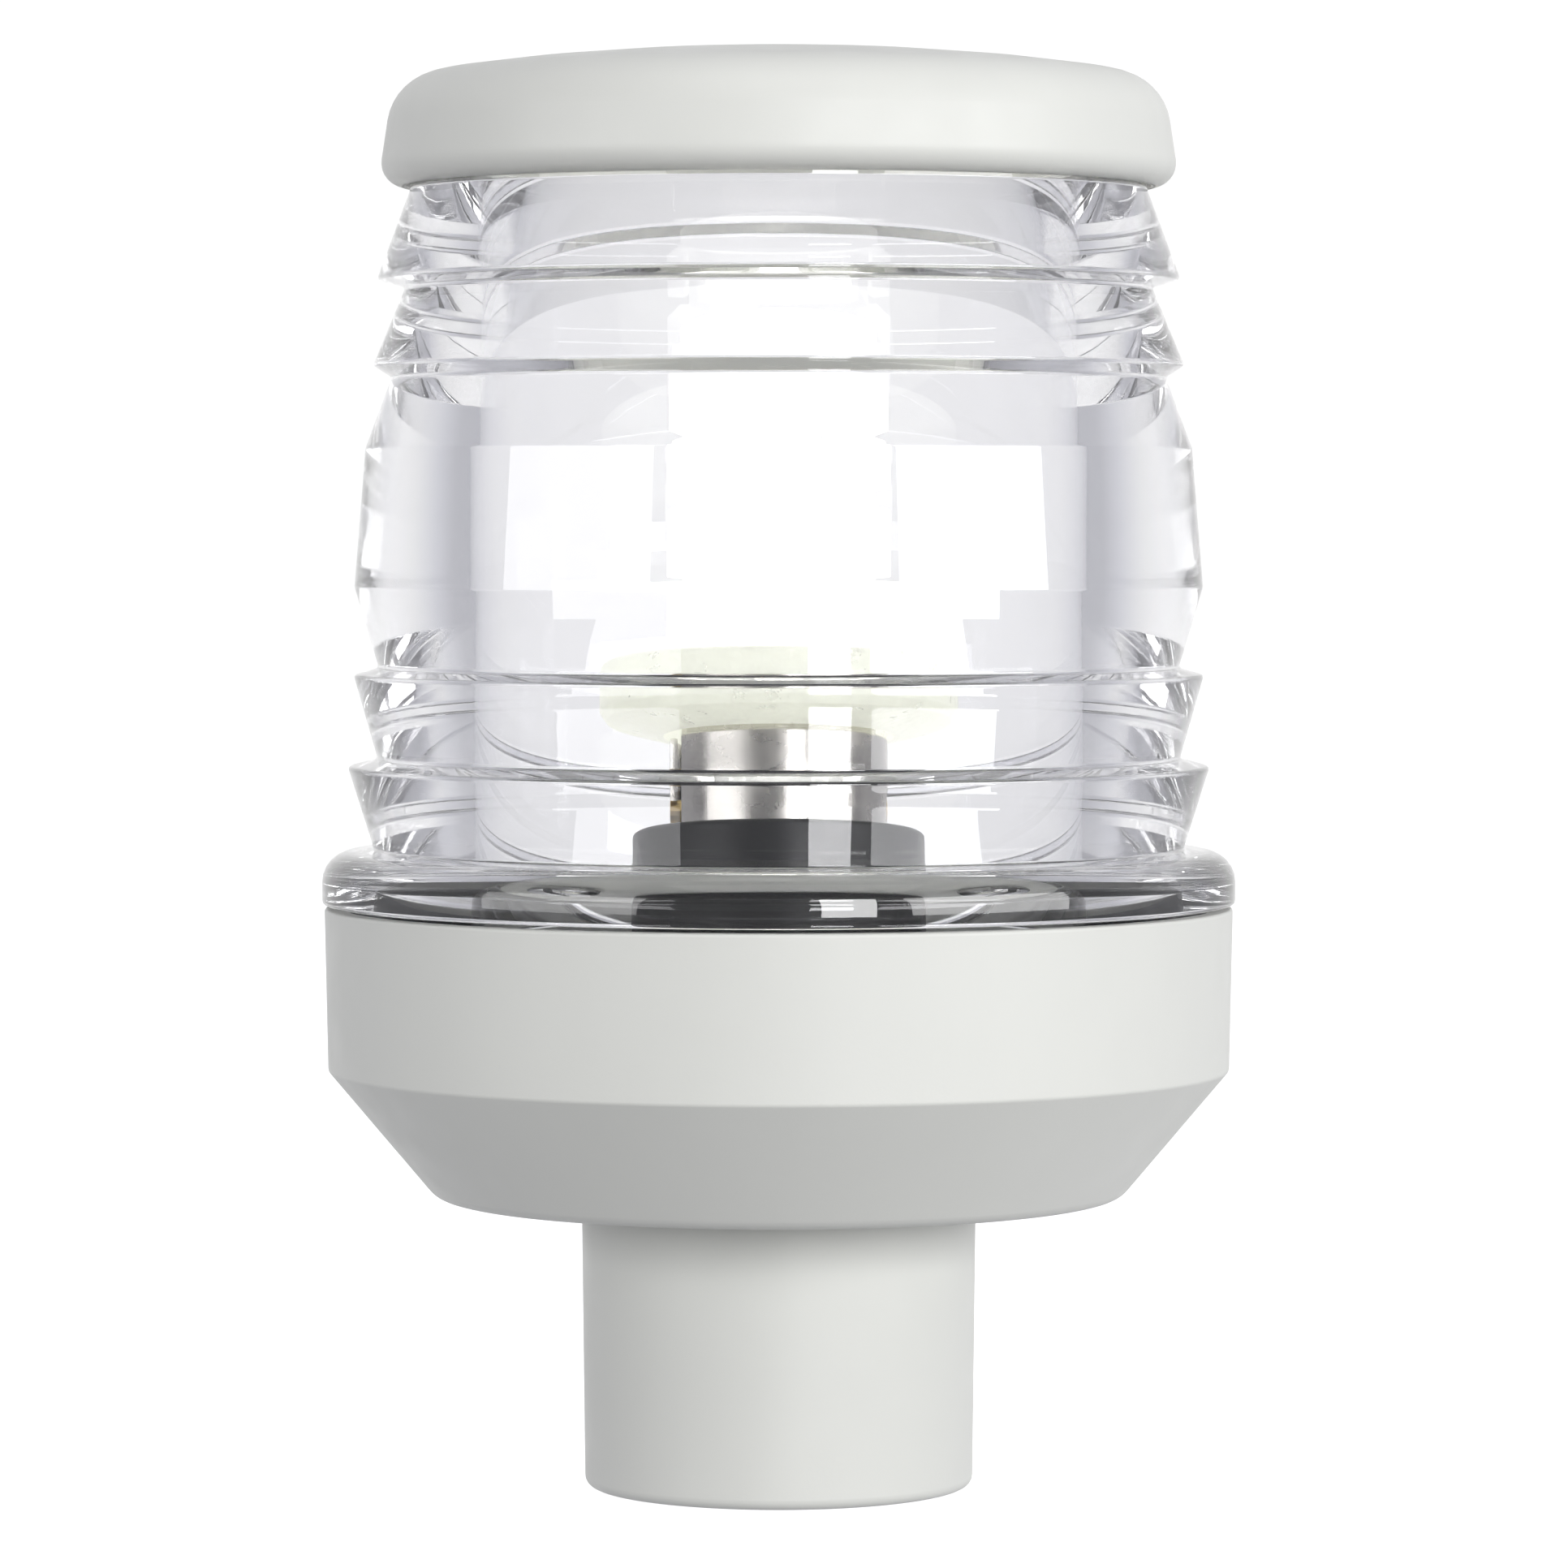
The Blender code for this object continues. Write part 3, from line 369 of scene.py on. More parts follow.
def deselect():
    if bpy.context.mode != "OBJECT":
        bpy.ops.object.mode_set(mode="OBJECT")
    bpy.ops.object.select_all(action="DESELECT")


def select_only(piece):
    deselect()
    piece.select_set(True)
    bpy.context.view_layer.objects.active = piece


def edit(piece):
    select_only(piece)
    bpy.ops.object.mode_set(mode="EDIT")


def place_mesh(piece):
    """Puts the piece's place, turn and size into its mesh."""
    select_only(piece)
    bpy.ops.object.transform_apply(location=True, rotation=True, scale=True)


def pick_faces(piece, wanted):
    """Selects, in edit mode, the faces whose middle and normal are wanted."""
    mesh = bmesh.from_edit_mesh(piece.data)
    bpy.ops.mesh.select_mode(type="FACE")
    for face in mesh.faces:
        face.select_set(bool(wanted(face.calc_center_median(), face.normal)))
    bmesh.update_edit_mesh(piece.data)


def filleted(corners, ring, segments=5, support=0.05 * MM):
    """Profile corners (radius, height, fillet) as points, each fillet an arc with a point either side."""
    points = []
    count = len(corners)
    for i, (radius, height, fillet) in enumerate(corners):
        here = Vector((radius, height))
        if not fillet or (not ring and i in (0, count - 1)):
            points.append((radius, height))
            continue
        back = Vector(corners[i - 1][:2]) - here
        ahead = Vector(corners[(i + 1) % count][:2]) - here
        room = min(back.length, ahead.length)
        back.normalize()
        ahead.normalize()
        half = back.angle(ahead) / 2
        reach = fillet / tan(half)
        centre = here + (back + ahead).normalized() * fillet / sin(half)
        first, last = here + back * reach - centre, here + ahead * reach - centre
        start = atan2(first.y, first.x)
        turn = (atan2(last.y, last.x) - start + pi) % (2 * pi) - pi
        if reach + support < room / 2:
            points.append(tuple(here + back * (reach + support)))
        for step in range(segments + 1):
            angle = start + turn * step / segments
            points.append((centre.x + fillet * cos(angle), centre.y + fillet * sin(angle)))
        if reach + support < room / 2:
            points.append(tuple(here + ahead * (reach + support)))
    return points


def turned(name, points, ring=True, steps=STEPS, angle=2 * pi):
    """Draws the profile from one vertex, spins it round Z and closes it."""
    deselect()
    bpy.ops.mesh.primitive_plane_add(size=MM)
    piece = bpy.context.object
    piece.name = name
    bpy.ops.object.mode_set(mode="EDIT")
    bpy.ops.mesh.select_mode(type="VERT")
    bpy.ops.mesh.merge(type="CENTER")
    bpy.ops.transform.translate(value=(points[0][0], 0.0, points[0][1]))
    path = [*points[1:], points[0]] if ring else points[1:]
    here = points[0]
    for there in path:
        step = (there[0] - here[0], 0.0, there[1] - here[1])
        bpy.ops.mesh.extrude_vertices_move(TRANSFORM_OT_translate={"value": step})
        here = there
    bpy.ops.mesh.select_all(action="SELECT")
    if ring:
        bpy.ops.mesh.remove_doubles(threshold=WELD)
    bpy.ops.mesh.spin(steps=steps, angle=angle, center=(0.0, 0.0, 0.0), axis=(0.0, 0.0, 1.0))
    bpy.ops.mesh.select_all(action="SELECT")
    bpy.ops.mesh.remove_doubles(threshold=WELD)
    bpy.ops.mesh.normals_make_consistent(inside=False)
    bpy.ops.object.mode_set(mode="OBJECT")
    return piece


def swept_bar(name, inner, outer, bottom, height, start, arc, rise, steps=16):
    """A bar round Z from start over arc (degrees) that climbs by rise, extruded step by step."""
    deselect()
    bpy.ops.mesh.primitive_plane_add(size=1.0, rotation=(pi / 2, 0.0, 0.0))
    piece = bpy.context.object
    piece.name = name
    place_mesh(piece)
    edit(piece)
    bpy.ops.mesh.select_all(action="SELECT")
    bpy.ops.transform.resize(value=(outer - inner, 1.0, height))
    bpy.ops.transform.translate(value=((inner + outer) / 2, 0.0, bottom + height / 2))
    turn_selected(start)
    for _ in range(steps):
        bpy.ops.mesh.extrude_region_move(TRANSFORM_OT_translate={"value": (0.0, 0.0, rise / steps)})
        turn_selected(arc / steps)
    bpy.ops.mesh.select_all(action="SELECT")
    bpy.ops.mesh.normals_make_consistent(inside=False)
    bpy.ops.object.mode_set(mode="OBJECT")
    return piece


def turn_selected(degrees):
    """Turns the selection anticlockwise round Z; with no window the operator turns the other way."""
    bpy.ops.transform.rotate(value=-radians(degrees), orient_axis="Z", center_override=(0.0, 0.0, 0.0))


def disc(name, radius, bottom, top, place=(0.0, 0.0), steps=SMALL_STEPS):
    """A round bar standing on bottom, extruded up to top."""
    deselect()
    bpy.ops.mesh.primitive_circle_add(vertices=steps, radius=radius, fill_type="NGON",
                                      location=(place[0], place[1], bottom))
    piece = bpy.context.object
    piece.name = name
    place_mesh(piece)
    edit(piece)
    bpy.ops.mesh.select_all(action="SELECT")
    bpy.ops.mesh.extrude_region_move(TRANSFORM_OT_translate={"value": (0.0, 0.0, top - bottom)})
    bpy.ops.mesh.select_all(action="SELECT")
    bpy.ops.mesh.normals_make_consistent(inside=False)
    bpy.ops.object.mode_set(mode="OBJECT")
    return piece


def block(name, lowest, highest):
    """A box between two corners."""
    deselect()
    middle = [(a + b) / 2 for a, b in zip(lowest, highest)]
    bpy.ops.mesh.primitive_cube_add(size=1.0, location=middle)
    piece = bpy.context.object
    piece.name = name
    piece.scale = [b - a for a, b in zip(lowest, highest)]
    place_mesh(piece)
    return piece


def join_in(piece, tool, operation="UNION"):
    """Joins the tool to the piece, or cuts it away, and removes it."""
    modifier = piece.modifiers.new(operation.lower(), "BOOLEAN")
    modifier.operation = operation
    modifier.object = tool
    modifier.solver = "EXACT"
    select_only(piece)
    bpy.ops.object.modifier_apply(modifier=modifier.name)
    bpy.data.objects.remove(tool)


def softened(piece, width, segments=2, angle=40.0):
    """Rounds the piece's edges."""
    modifier = piece.modifiers.new("edges", "BEVEL")
    modifier.width = width
    modifier.segments = segments
    modifier.limit_method = "ANGLE"
    modifier.angle_limit = radians(angle)
    modifier.use_clamp_overlap = True
    select_only(piece)
    bpy.ops.object.modifier_apply(modifier=modifier.name)


def copy_of(piece, name, turn=0.0, shift=(0.0, 0.0, 0.0)):
    """A copy with its own mesh, shifted and then turned round Z (degrees)."""
    made = piece.copy()
    made.data = piece.data.copy()
    made.name = name
    made.data.name = name
    bpy.context.scene.collection.objects.link(made)
    made.data.transform(Matrix.Rotation(radians(turn), 4, "Z") @ Matrix.Translation(shift))
    return made


def done(piece, material, body, *nodes, slot=None, smooth=SMOOTH_ANGLE):
    """Gives the piece its finish and its place in the frame."""
    select_only(piece)
    bpy.ops.object.shade_smooth_by_angle(angle=smooth)
    if not piece.data.materials:
        piece.data.materials.append(finish(material))
    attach(piece, body)
    if nodes:
        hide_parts(*nodes)
    return piece


def repaint(node, material):
    """A CAD node that keeps its shape gets the detailed finish."""
    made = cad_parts[node]
    made.data.materials.clear()
    made.data.materials.append(finish(material))


# ---- Pieces ------------------------------------------------------------------------------------


class NAVLIGHT_OT_housing(bpy.types.Operator):
    """Housing: shank, cone and cup in one moulding, with its posts, ramps and stops"""

    bl_idname = "navlight.housing"
    bl_label = "Housing"

    def execute(self, context):
        sizes = context.scene.navlight_sizes
        rim = high("housing")
        shoulder, pole_stop, cup_floor, seal_step = 22.05 * MM, 20.0 * MM, 24.4 * MM, 42.1 * MM
        cable_hole, cup_bore, seal_bore = 7.0 * MM, 32.15 * MM, 33.05 * MM
        outline = [
            (34.45 * MM, rim, 0.25 * MM),
            (sizes.cup_radius, 31.8 * MM, 0.45 * MM),
            (26.0 * MM, shoulder, 2.0 * MM),
            (sizes.shank_radius, shoulder, 0.3 * MM),
            (sizes.shank_radius - 0.25 * MM, 0.0, 0.8 * MM),
            (sizes.pole_bore, 0.0, 0.4 * MM),
            (sizes.pole_bore, pole_stop, 0.3 * MM),
            (cable_hole, pole_stop, 0.3 * MM),
            (cable_hole, cup_floor, 0.3 * MM),
            (24.78 * MM, cup_floor, 1.0 * MM),
            (cup_bore, 33.17 * MM, 0.8 * MM),
            (cup_bore, seal_step, 0.15 * MM),
            (seal_bore, seal_step, 0.15 * MM),
            (seal_bore, rim, 0.2 * MM),
        ]
        housing = turned("housing_moulding", filleted(outline, True))
        self.add_posts(housing, cup_floor - 0.6 * MM, low("lamp_floor") + 1.7 * MM)
        self.add_thread(housing, 31.2 * MM, cup_bore + 0.6 * MM)
        done(housing, "white_plastic", "base", "housing", slot="white_abs")
        return {"FINISHED"}

    def add_posts(self, housing, foot, top):
        """Three posts for the lamp floor, each with a hole for its screw."""
        for angle in POST_ANGLES:
            place = around_axis(angle, POST_CIRCLE)
            join_in(housing, disc("post", 3.0 * MM, foot, top, place, 32))
            pilot = disc("pilot", SCREW_HOLE, top - FLOOR_SCREW_LENGTH, top + MM, place, 24)
            join_in(housing, pilot, "DIFFERENCE")

    def add_thread(self, housing, inner, outer):
        """Three ramps that the lens's lugs run under, each with a stop at its low end."""
        for centre in THREAD_ANGLES:
            ramp = swept_bar("ramp", inner, outer, 38.35 * MM, THREAD_HEIGHT, centre - 30.0, 57.0, 1.425 * MM)
            join_in(housing, ramp)
            stop = swept_bar("stop", inner, outer, 37.0 * MM, 2.4 * MM, centre - 24.2, 5.0, 0.0, 3)
            join_in(housing, stop)


class NAVLIGHT_OT_lens(bpy.types.Operator):
    """Lens: clear drum with four ring prisms, a three-faced barrel, a flange and a threaded spigot"""

    bl_idname = "navlight.lens"
    bl_label = "Lens"

    def execute(self, context):
        sizes = context.scene.navlight_sizes
        drum_height = 57.8
        foot = high("lens") - drum_height * MM
        flange_top, web = foot + 4.0 * MM, foot - 2.6 * MM
        rim, spigot, spigot_bore, bore = high("lens", 0), 30.8 * MM, 27.6 * MM, 23.4 * MM
        edge = sizes.prism_round / MM
        # Radius, height over the flange's underside and fillet in mm, from the top down
        prisms_and_barrel = [
            (27.9, drum_height, 0.1), (27.9, 53.9, 0.3), (30.40, 47.2, edge), (28.25, 46.6, edge),
            (30.70, 40.7, edge), (29.30, 39.8, edge), (31.30, 34.45, 0.5), (32.15, 24.0, 0.5),
            (30.35, 17.9, edge), (32.25, 17.35, edge), (30.45, 11.0, edge), (32.70, 10.4, edge),
            (30.75, 4.2, 0.15),
        ]
        outline = [(radius * MM, foot + height * MM, fillet * MM)
                   for radius, height, fillet in prisms_and_barrel]
        outline += [
            (rim - 2.6 * MM, flange_top, 0.0),
            (rim, flange_top, sizes.flange_round),
            (rim, foot, 0.3 * MM),
            (spigot, foot, 0.1 * MM),
            (spigot, low("lens"), 0.2 * MM),
            (spigot_bore, low("lens"), 0.2 * MM),
            (spigot_bore, web, 0.1 * MM),
            (bore, web, 0.3 * MM),
            (bore, high("lens"), 0.1 * MM),
        ]
        lens = turned("lens_drum", filleted(outline, True, 6), steps=LENS_STEPS)
        inner, outer = spigot - 0.6 * MM, spigot + MM
        for centre in THREAD_ANGLES:
            lug = swept_bar("lug", inner, outer, 36.55 * MM, THREAD_HEIGHT, centre - 18.0, 36.0, 0.9 * MM, 12)
            join_in(lens, lug)
        done(lens, "clear_plastic", "lens_cover", "lens", slot="clear_polycarbonate")
        return {"FINISHED"}


class NAVLIGHT_OT_cap(bpy.types.Operator):
    """Cap: shallow dome with a rounded shoulder, a rolled lower edge and a collar inside the lens"""

    bl_idname = "navlight.cap"
    bl_label = "Cap"

    def execute(self, context):
        sizes = context.scene.navlight_sizes
        foot, crown, seat = low("cap"), high("cap"), high("lens") + GAP
        lens_bore, collar, collar_bore, collar_foot = 28.2 * MM, 23.1 * MM, 21.3 * MM, foot + 0.8 * MM
        dome = 190.0 * MM
        rim = high("cap", 0)
        lean, side_height = radians(8.0), 8.0 * MM
        side_top = rim - tan(lean) * side_height
        fall = dome - (dome ** 2 - side_top ** 2) ** 0.5
        outline = [(0.0, crown, 0.0)]
        for share in (0.25, 0.5, 0.72):
            radius = side_top * share
            outline.append((radius, crown - dome + (dome ** 2 - radius ** 2) ** 0.5, 0.0))
        outline += [
            (side_top, crown - fall, sizes.cap_shoulder),
            (rim + 0.12 * MM, foot, 1.75 * MM),
            (lens_bore, foot, 0.2 * MM),
            (lens_bore, seat, 0.1 * MM),
            (collar, seat, 0.1 * MM),
            (collar, collar_foot, 0.2 * MM),
            (collar_bore, collar_foot, 0.2 * MM),
            (collar_bore, foot + 5.75 * MM, 0.4 * MM),
            (19.5 * MM, foot + 7.25 * MM, 0.3 * MM),
            (0.0, crown - 2.1 * MM, 0.0),
        ]
        cap = turned("cap_dome", filleted(outline, False, 8))
        done(cap, "white_plastic", "lens_cover", "cap", slot="white_abs")
        return {"FINISHED"}


class NAVLIGHT_OT_seal(bpy.types.Operator):
    """Seal: rubber ring in the rim of the housing"""

    bl_idname = "navlight.seal"
    bl_label = "Seal ring"

    def execute(self, context):
        outer = high("lens_seal", 0)
        thick = high("lens_seal") - low("lens_seal")
        centre = outer - thick / 2
        middle = (high("lens_seal") + low("lens_seal")) / 2
        sides = 24
        points = [(centre + thick / 2 * cos(2 * pi * i / sides), middle - thick / 2 * sin(2 * pi * i / sides))
                  for i in range(sides)]
        done(turned("seal_ring", points), "seal_rubber", "seal", "lens_seal", slot="seal_rubber")
        return {"FINISHED"}


class NAVLIGHT_OT_lamp_floor(bpy.types.Operator):
    """Lamp floor: the white plate that carries the holder, with holes for its three screws"""

    bl_idname = "navlight.lamp_floor"
    bl_label = "Lamp floor"

    def execute(self, context):
        top, bottom, rim = high("lamp_floor"), low("lamp_floor"), high("lamp_floor", 0)
        wall, holder_hole = 1.5 * MM, 9.9 * MM
        outline = [
            (rim, top, 0.35 * MM), (rim, bottom, 0.2 * MM), (rim - wall, bottom, 0.2 * MM),
            (rim - wall, top - wall, 0.4 * MM), (holder_hole, top - wall, 0.1 * MM), (holder_hole, top, 0.1 * MM),
        ]
        floor = turned("lamp_floor_plate", filleted(outline, True, 3))
        for angle in POST_ANGLES:
            hole = disc("screw_hole", SCREW_HOLE, bottom - MM, top + MM, around_axis(angle, POST_CIRCLE), 32)
            join_in(floor, hole, "DIFFERENCE")
        done(floor, "white_plastic", "base", "lamp_floor", slot="white_abs")
        return {"FINISHED"}


class NAVLIGHT_OT_insulator(bpy.types.Operator):
    """Insulator: black moulding under the holder's shell"""

    bl_idname = "navlight.insulator"
    bl_label = "Insulator"

    def execute(self, context):
        top, bottom, rim = high("holder_insulator"), low("holder_insulator"), high("holder_insulator", 0)
        seat, shell_seat = high("lamp_floor") + GAP, 47.5 * MM
        shell_bore, neck = 8.65 * MM, 9.6 * MM
        outline = [
            (0.0, shell_seat, 0.0), (shell_bore, shell_seat, 0.2 * MM), (shell_bore, top, 0.2 * MM),
            (rim, top, 0.35 * MM), (rim, seat, 0.2 * MM), (neck, seat, 0.1 * MM),
            (neck, bottom, 0.3 * MM), (0.0, bottom, 0.0),
        ]
        insulator = turned("insulator_moulding", filleted(outline, False, 4), steps=96)
        for side in (1, -1):
            bore = disc("bore", 1.75 * MM, bottom - MM, shell_seat + 0.5 * MM, (0.0, side * CONTACT_OFFSET), 32)
            join_in(insulator, bore, "DIFFERENCE")
            hole = disc("hole", SCREW_HOLE, bottom - MM, bottom + 5.4 * MM,
                        (0.0, side * TERMINAL_SCREW_OFFSET), 24)
            join_in(insulator, hole, "DIFFERENCE")
        done(insulator, "black_moulding", "base", "holder_insulator", slot="black_phenolic")
        return {"FINISHED"}


class NAVLIGHT_OT_holder_shell(bpy.types.Operator):
    """Holder shell: drawn nickel-plated tube with two hooked slots"""

    bl_idname = "navlight.holder_shell"
    bl_label = "Holder shell"

    def execute(self, context):
        wall = context.scene.navlight_sizes.shell_wall
        rim, top, bottom = high("holder_shell", 0), high("holder_shell"), low("holder_shell")
        outline = [(rim, top, 0.15 * MM), (rim, bottom, 0.1 * MM), (rim - wall, bottom, 0.1 * MM),
                   (rim - wall, top, 0.15 * MM)]
        shell = turned("holder_tube", filleted(outline, True, 3, 0.02 * MM), steps=128)
        inner, outer = rim - wall - 0.6 * MM, rim + 0.6 * MM
        slot_foot, slot_arc, turn = 53.6 * MM, 19.0, 20.0
        for facing in (0.0, 180.0):
            start = facing - slot_arc / 2
            slant = swept_bar("slant", inner, outer, 55.8125 * MM, 3.0 * MM, start, slot_arc + turn, -2.925 * MM, 16)
            join_in(shell, slant, "DIFFERENCE")
            channel = swept_bar("channel", inner, outer, slot_foot, top + MM - slot_foot, start + turn, slot_arc,
                                0.0, 8)
            join_in(shell, channel, "DIFFERENCE")
        done(shell, "nickel", "base", "holder_shell", slot="nickel_plate")
        return {"FINISHED"}


class NAVLIGHT_OT_bulb_disc(bpy.types.Operator):
    """Bulb disc: the milky plate between the bulb's base and its LEDs"""

    bl_idname = "navlight.bulb_disc"
    bl_label = "Bulb disc"

    def execute(self, context):
        top, bottom, rim = high("bulb_disc"), low("bulb_disc"), high("bulb_disc", 0)
        ceiling, recess = high("bulb_base_shell") + GAP, 8.8 * MM
        outline = [
            (0.0, top, 0.0), (rim * 0.55, top, 0.0), (rim, top, 0.6 * MM), (rim, top - 3.6 * MM, 0.3 * MM),
            (rim - 0.5 * MM, top - 4.3 * MM, 0.2 * MM), (recess + 0.5 * MM, bottom, 0.3 * MM),
            (recess, bottom, 0.1 * MM), (recess, ceiling, 0.3 * MM), (0.0, ceiling, 0.0),
        ]
        plate = turned("milky_disc", filleted(outline, False, 4), steps=128)
        done(plate, "milky_plastic", "bulb", "bulb_disc", slot="milky_plastic")
        return {"FINISHED"}


class NAVLIGHT_OT_leds(bpy.types.Operator):
    """LEDs: six boards round a hexagon with two chips on each, and a round board on top"""

    bl_idname = "navlight.leds"
    bl_label = "LEDs"

    def execute(self, context):
        window = context.scene.navlight_sizes.chip_window
        face, half, thick = 6.9 * MM, 2.5 * MM, 1.4 * MM
        soft_edge, wall, sunk = 0.15 * MM, 0.12 * MM, 0.2 * MM
        chip = block("led_package", (face, -half, -half), (face + thick, half, half))
        softened(chip, soft_edge, 2)
        edit(chip)
        pick_faces(chip, lambda middle, normal: normal.x > 0.99 and abs(middle.y) < MM and abs(middle.z) < MM)
        bpy.ops.mesh.inset(thickness=half - soft_edge - window / 2, depth=0.0)
        bpy.ops.mesh.inset(thickness=wall, depth=-sunk)
        bpy.ops.object.mode_set(mode="OBJECT")
        # the package body takes the board finish with its painted glow; the window below takes the phosphor, which is
        # the lamp
        chip.data.materials.append(finish("board_painted_glow"))
        chip.data.materials.append(finish("lit_phosphor"))
        for polygon in chip.data.polygons:
            if polygon.normal.x > 0.99 and polygon.center.x < face + thick - sunk / 2:
                polygon.material_index = 1
        for number in range(6):
            angle = 60.0 * (number + 0.5)
            # each board gets the finish with the painted glow
            repaint(f"led_board_{number + 1}", "board_painted_glow")
            for row in (1, 2):
                node = f"led_chip_{number + 1}_{row}"
                made = copy_of(chip, f"led_{number + 1}_{row}", angle,
                               (0.0, 0.0, (low(node) + high(node)) / 2))
                done(made, "board_painted_glow", "bulb", node, slot="phosphor_yellow")
        bpy.data.objects.remove(chip)
        # the top board gets the finish with the painted glow too
        repaint("led_top_board", "board_painted_glow")
        return {"FINISHED"}


class NAVLIGHT_OT_screws(bpy.types.Operator):
    """Screws: slotted pan heads, three in the lamp floor and two in the terminals"""

    bl_idname = "navlight.screws"
    bl_label = "Screws"

    def execute(self, context):
        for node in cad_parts:
            if "screw" not in node:
                continue
            number = int(node[-1])
            screw = self.shaped(high(node) - low(node))
            if node.startswith("floor"):
                turn, seat = 37.0 * number, high(node) - SCREW_HEAD
            else:
                turn, seat = 25.0 * (3 - 2 * number), low(node) + SCREW_HEAD
                screw.data.transform(Matrix.Rotation(pi, 4, "X"))
            middle = [(low(node, axis) + high(node, axis)) / 2 for axis in range(2)]
            screw.data.transform(Matrix.Translation((*middle, seat)) @ Matrix.Rotation(radians(turn), 4, "Z"))
            screw.name = screw.data.name = f"{node}_turned"
            done(screw, "steel", "base", node, slot="stainless_steel")
        return {"FINISHED"}

    def shaped(self, overall):
        """A screw of the overall height, its head up and the underside of its head at the origin."""
        head, shaft, pitch, point = 2.6 * MM, overall - SCREW_HEAD, 0.8 * MM, 1.2 * MM
        crest, root = 1.2 * MM, 0.95 * MM
        profile = [(0.0, SCREW_HEAD, 0.0), (head, SCREW_HEAD, 0.95 * MM), (head, 0.0, 0.15 * MM), (crest, 0.0, 0.0)]
        for ring in range(int((shaft - 2.0 * MM) / pitch)):
            depth = -0.8 * MM - ring * pitch
            profile += [(crest, depth, 0.0), (root, depth - pitch / 2, 0.0)]
        profile += [(1.0 * MM, point - shaft, 0.0), (0.0, -shaft, 0.0)]
        screw = turned("screw", filleted(profile, False, 6, 0.02 * MM), False, 48)
        reach, half_width, depth = 3.0 * MM, 0.35 * MM, 0.8 * MM
        slot = block("slot", (-reach, -half_width, SCREW_HEAD - depth), (reach, half_width, SCREW_HEAD + MM))
        join_in(screw, slot, "DIFFERENCE")
        return screw


class NAVLIGHT_OT_springs(bpy.types.Operator):
    """Springs: steel coils under the two plungers, each built as tall as its frame node; the real coils close up as
    the bulb is pressed down
    """

    bl_idname = "navlight.springs"
    bl_label = "Springs"

    def execute(self, context):
        wire, coil, turns, steps, wire_sides = 0.22 * MM, 1.15 * MM, 5, 24, 10
        for number, side in enumerate((1, -1), 1):
            node = f"contact_spring_{number}"
            foot, head = low(node) + wire, high(node) - wire
            deselect()
            bpy.ops.mesh.primitive_circle_add(vertices=wire_sides, radius=wire, fill_type="NGON",
                                              rotation=(pi / 2, 0.0, 0.0), location=(coil, 0.0, foot))
            spring = context.object
            spring.name = f"{node}_coil"
            place_mesh(spring)
            edit(spring)
            bpy.ops.mesh.select_all(action="SELECT")
            for _ in range(turns * steps):
                rise = (head - foot) / (turns * steps)
                bpy.ops.mesh.extrude_region_move(TRANSFORM_OT_translate={"value": (0.0, 0.0, rise)})
                turn_selected(360.0 / steps)
            bpy.ops.mesh.select_all(action="SELECT")
            bpy.ops.mesh.normals_make_consistent(inside=False)
            bpy.ops.transform.translate(value=(0.0, side * CONTACT_OFFSET, 0.0))
            bpy.ops.object.mode_set(mode="OBJECT")
            done(spring, "steel", "base", node, slot="stainless_steel", smooth=radians(60.0))
            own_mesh(spring)
        return {"FINISHED"}


class NAVLIGHT_OT_small_parts(bpy.types.Operator):
    """Small parts: terminals, plungers, pins, contacts, ring nut and the bulb's base"""

    bl_idname = "navlight.small_parts"
    bl_label = "Small parts"

    def execute(self, context):
        finishes_of = {
            "terminal_": "brass", "contact_plunger_": "brass", "bulb_pin_": "brass", "bulb_contact_": "brass",
            "bulb_base_shell": "nickel", "bulb_base_insulator": "black_moulding", "holder_ring_nut": "nickel",
        }
        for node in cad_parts:
            for start, name in finishes_of.items():
                if node.startswith(start) and "screw" not in node:
                    repaint(node, name)
        return {"FINISHED"}


# ---- Studio ------------------------------------------------------------------------------------


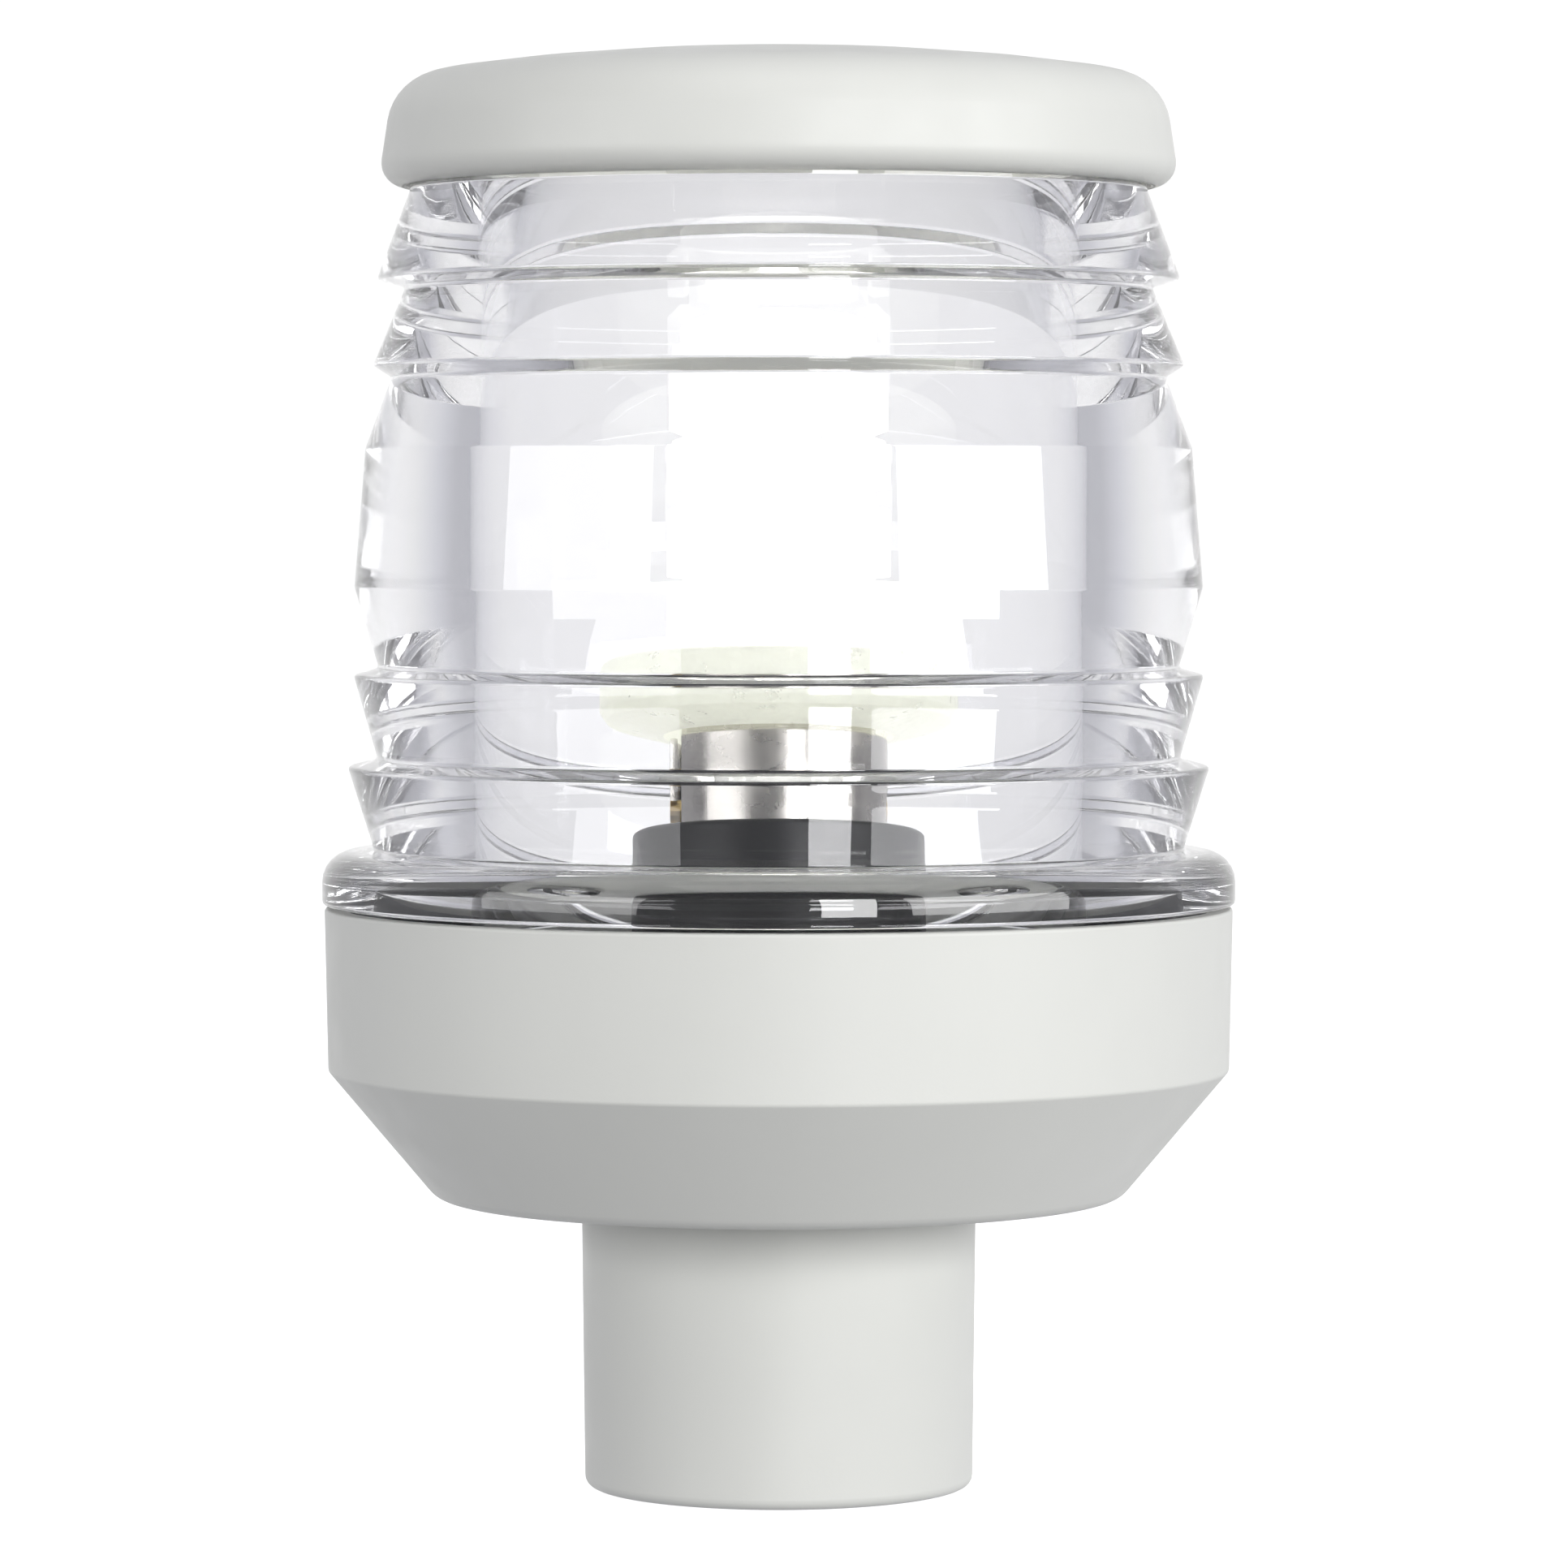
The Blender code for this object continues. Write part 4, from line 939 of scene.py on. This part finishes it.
class NAVLIGHT_OT_studio(bpy.types.Operator):
    """Studio: pale floor, soft lights, white surroundings and the camera"""

    bl_idname = "navlight.studio"
    bl_label = "Studio"

    def execute(self, context):
        studio = context.scene.navlight_studio
        deselect()
        bpy.ops.mesh.primitive_plane_add(size=6.0)
        floor = context.object
        floor.name = "studio_floor"
        material, shader = new_finish("pale_floor", Base_Color=(0.9, 0.9, 0.9, 1.0), Roughness=0.9,
                                      Emission_Color=(1.0, 1.0, 1.0, 1.0), Emission_Strength=0.8)
        shader.inputs["Specular IOR Level"].default_value = 0.1
        floor.data.materials.append(material)
        floor.visible_diffuse = False
        floor.visible_glossy = False
        floor.visible_transmission = False

        world = bpy.data.worlds.new("studio_room")
        world.use_nodes = True
        context.scene.world = world
        self.paint_room(world, studio)

        for name, around, up, width, height, share in (
                ("front_strip", 17.0, 10.0, 0.24, 0.38, 11.0),
                ("right_box", 54.0, 11.0, 0.80, 0.40, 5.2),
                ("left_box", -56.0, 11.0, 0.80, 0.40, 2.9),
                ("top_box", 8.0, 62.0, 0.80, 0.50, 0.9)):
            self.add_soft_light(name, around, up, width, height, share * studio.lights)
        self.add_camera(context, studio)
        context.scene.view_settings.view_transform = "Standard"
        cycles = context.scene.cycles
        cycles.max_bounces = studio.bounces
        cycles.transmission_bounces = studio.bounces
        cycles.glossy_bounces = studio.bounces // 2
        return {"FINISHED"}

    def paint_room(self, world, studio):
        """White behind the light and under it, dimmer behind the camera."""
        background = world.node_tree.nodes["Background"]
        direction = add_node(world, "ShaderNodeTexCoord").outputs["Generated"]
        parts = add_node(world, "ShaderNodeSeparateXYZ", {"Vector": direction})
        behind = spread(world, parts.outputs["Y"], 0.0, 1.0, 0.55, 0.98)
        sides = spread(world, parts.outputs["Y"], studio.front, studio.sides, -0.35, 0.25)
        world.node_tree.links.new(tinted(world, behind, studio.side_tint, (1.0, 1.0, 1.0)),
                                  background.inputs["Color"])
        room = add_node(world, "ShaderNodeMix", {"Factor": behind, "A": sides, "B": studio.behind})
        under = spread(world, parts.outputs["Z"], studio.under, 1.0, -0.7, 0.1)
        dimmed = add_node(world, "ShaderNodeMath", {0: room.outputs["Result"], 1: under}, operation="MULTIPLY")
        seen = add_node(world, "ShaderNodeLightPath").outputs["Is Camera Ray"]
        mixed = add_node(world, "ShaderNodeMix", {"Factor": seen, "A": dimmed.outputs["Value"],
                                                  "B": studio.backdrop})
        world.node_tree.links.new(mixed.outputs["Result"], background.inputs["Strength"])

    def add_soft_light(self, name, around, up, width, height, brightness):
        """A panel a metre away: around is its angle to the right of the camera, up its angle over the floor."""
        around, up = radians(around), radians(up)
        away = Vector((sin(around) * cos(up), -cos(around) * cos(up), sin(up)))
        bpy.ops.object.light_add(type="AREA", location=away + Vector((0.0, 0.0, 50.0 * MM)))
        light = bpy.context.object
        light.name = name
        light.data.shape = "RECTANGLE"
        light.data.size = width
        light.data.size_y = height
        light.data.energy = brightness * pi * width * height
        light.rotation_euler = away.to_track_quat("Z", "Y").to_euler()

    def add_camera(self, context, studio):
        place = Vector((studio.offset, -studio.distance, studio.height))
        bpy.ops.object.camera_add(location=place)
        camera = context.object
        aim = Vector((studio.offset, 0.0, studio.aim)) - place
        camera.rotation_euler = aim.to_track_quat("-Z", "Y").to_euler()
        camera.data.lens = studio.focal
        camera.data.sensor_width = 36.0
        camera.data.clip_start = 0.01
        context.scene.camera = camera


STEPS_IN_ORDER = (
    NAVLIGHT_OT_studio, NAVLIGHT_OT_housing, NAVLIGHT_OT_lens, NAVLIGHT_OT_cap, NAVLIGHT_OT_seal,
    NAVLIGHT_OT_lamp_floor, NAVLIGHT_OT_insulator, NAVLIGHT_OT_holder_shell, NAVLIGHT_OT_bulb_disc,
    NAVLIGHT_OT_leds, NAVLIGHT_OT_screws, NAVLIGHT_OT_springs, NAVLIGHT_OT_small_parts,
)


class NAVLIGHT_PT_panel(bpy.types.Panel):
    """Lists the light's settings and its steps"""

    bl_idname = "NAVLIGHT_PT_panel"
    bl_label = "Navigation light"
    bl_space_type = "VIEW_3D"
    bl_region_type = "UI"
    bl_category = "Navigation light"

    def draw(self, context):
        layout = self.layout
        scene = context.scene
        for title, group in (("Sizes", scene.navlight_sizes), ("Finishes", scene.navlight_finishes),
                             ("Studio", scene.navlight_studio)):
            box = layout.box()
            box.label(text=title)
            for name in group.__annotations__:
                box.prop(group, name)
        for step in STEPS_IN_ORDER:
            layout.operator(step.bl_idname)


CLASSES = (NavlightSizes, NavlightFinishes, NavlightStudio, *STEPS_IN_ORDER, NAVLIGHT_PT_panel)


def register():
    for cls in CLASSES:
        bpy.utils.register_class(cls)
    bpy.types.Scene.navlight_sizes = bpy.props.PointerProperty(type=NavlightSizes)
    bpy.types.Scene.navlight_finishes = bpy.props.PointerProperty(type=NavlightFinishes)
    bpy.types.Scene.navlight_studio = bpy.props.PointerProperty(type=NavlightStudio)


def unregister():
    del bpy.types.Scene.navlight_studio
    del bpy.types.Scene.navlight_finishes
    del bpy.types.Scene.navlight_sizes
    for cls in reversed(CLASSES):
        bpy.utils.unregister_class(cls)


def main():
    register()
    for step in STEPS_IN_ORDER:
        group, name = step.bl_idname.split(".")
        getattr(getattr(bpy.ops, group), name)()


if __name__ == "__main__":
    main()
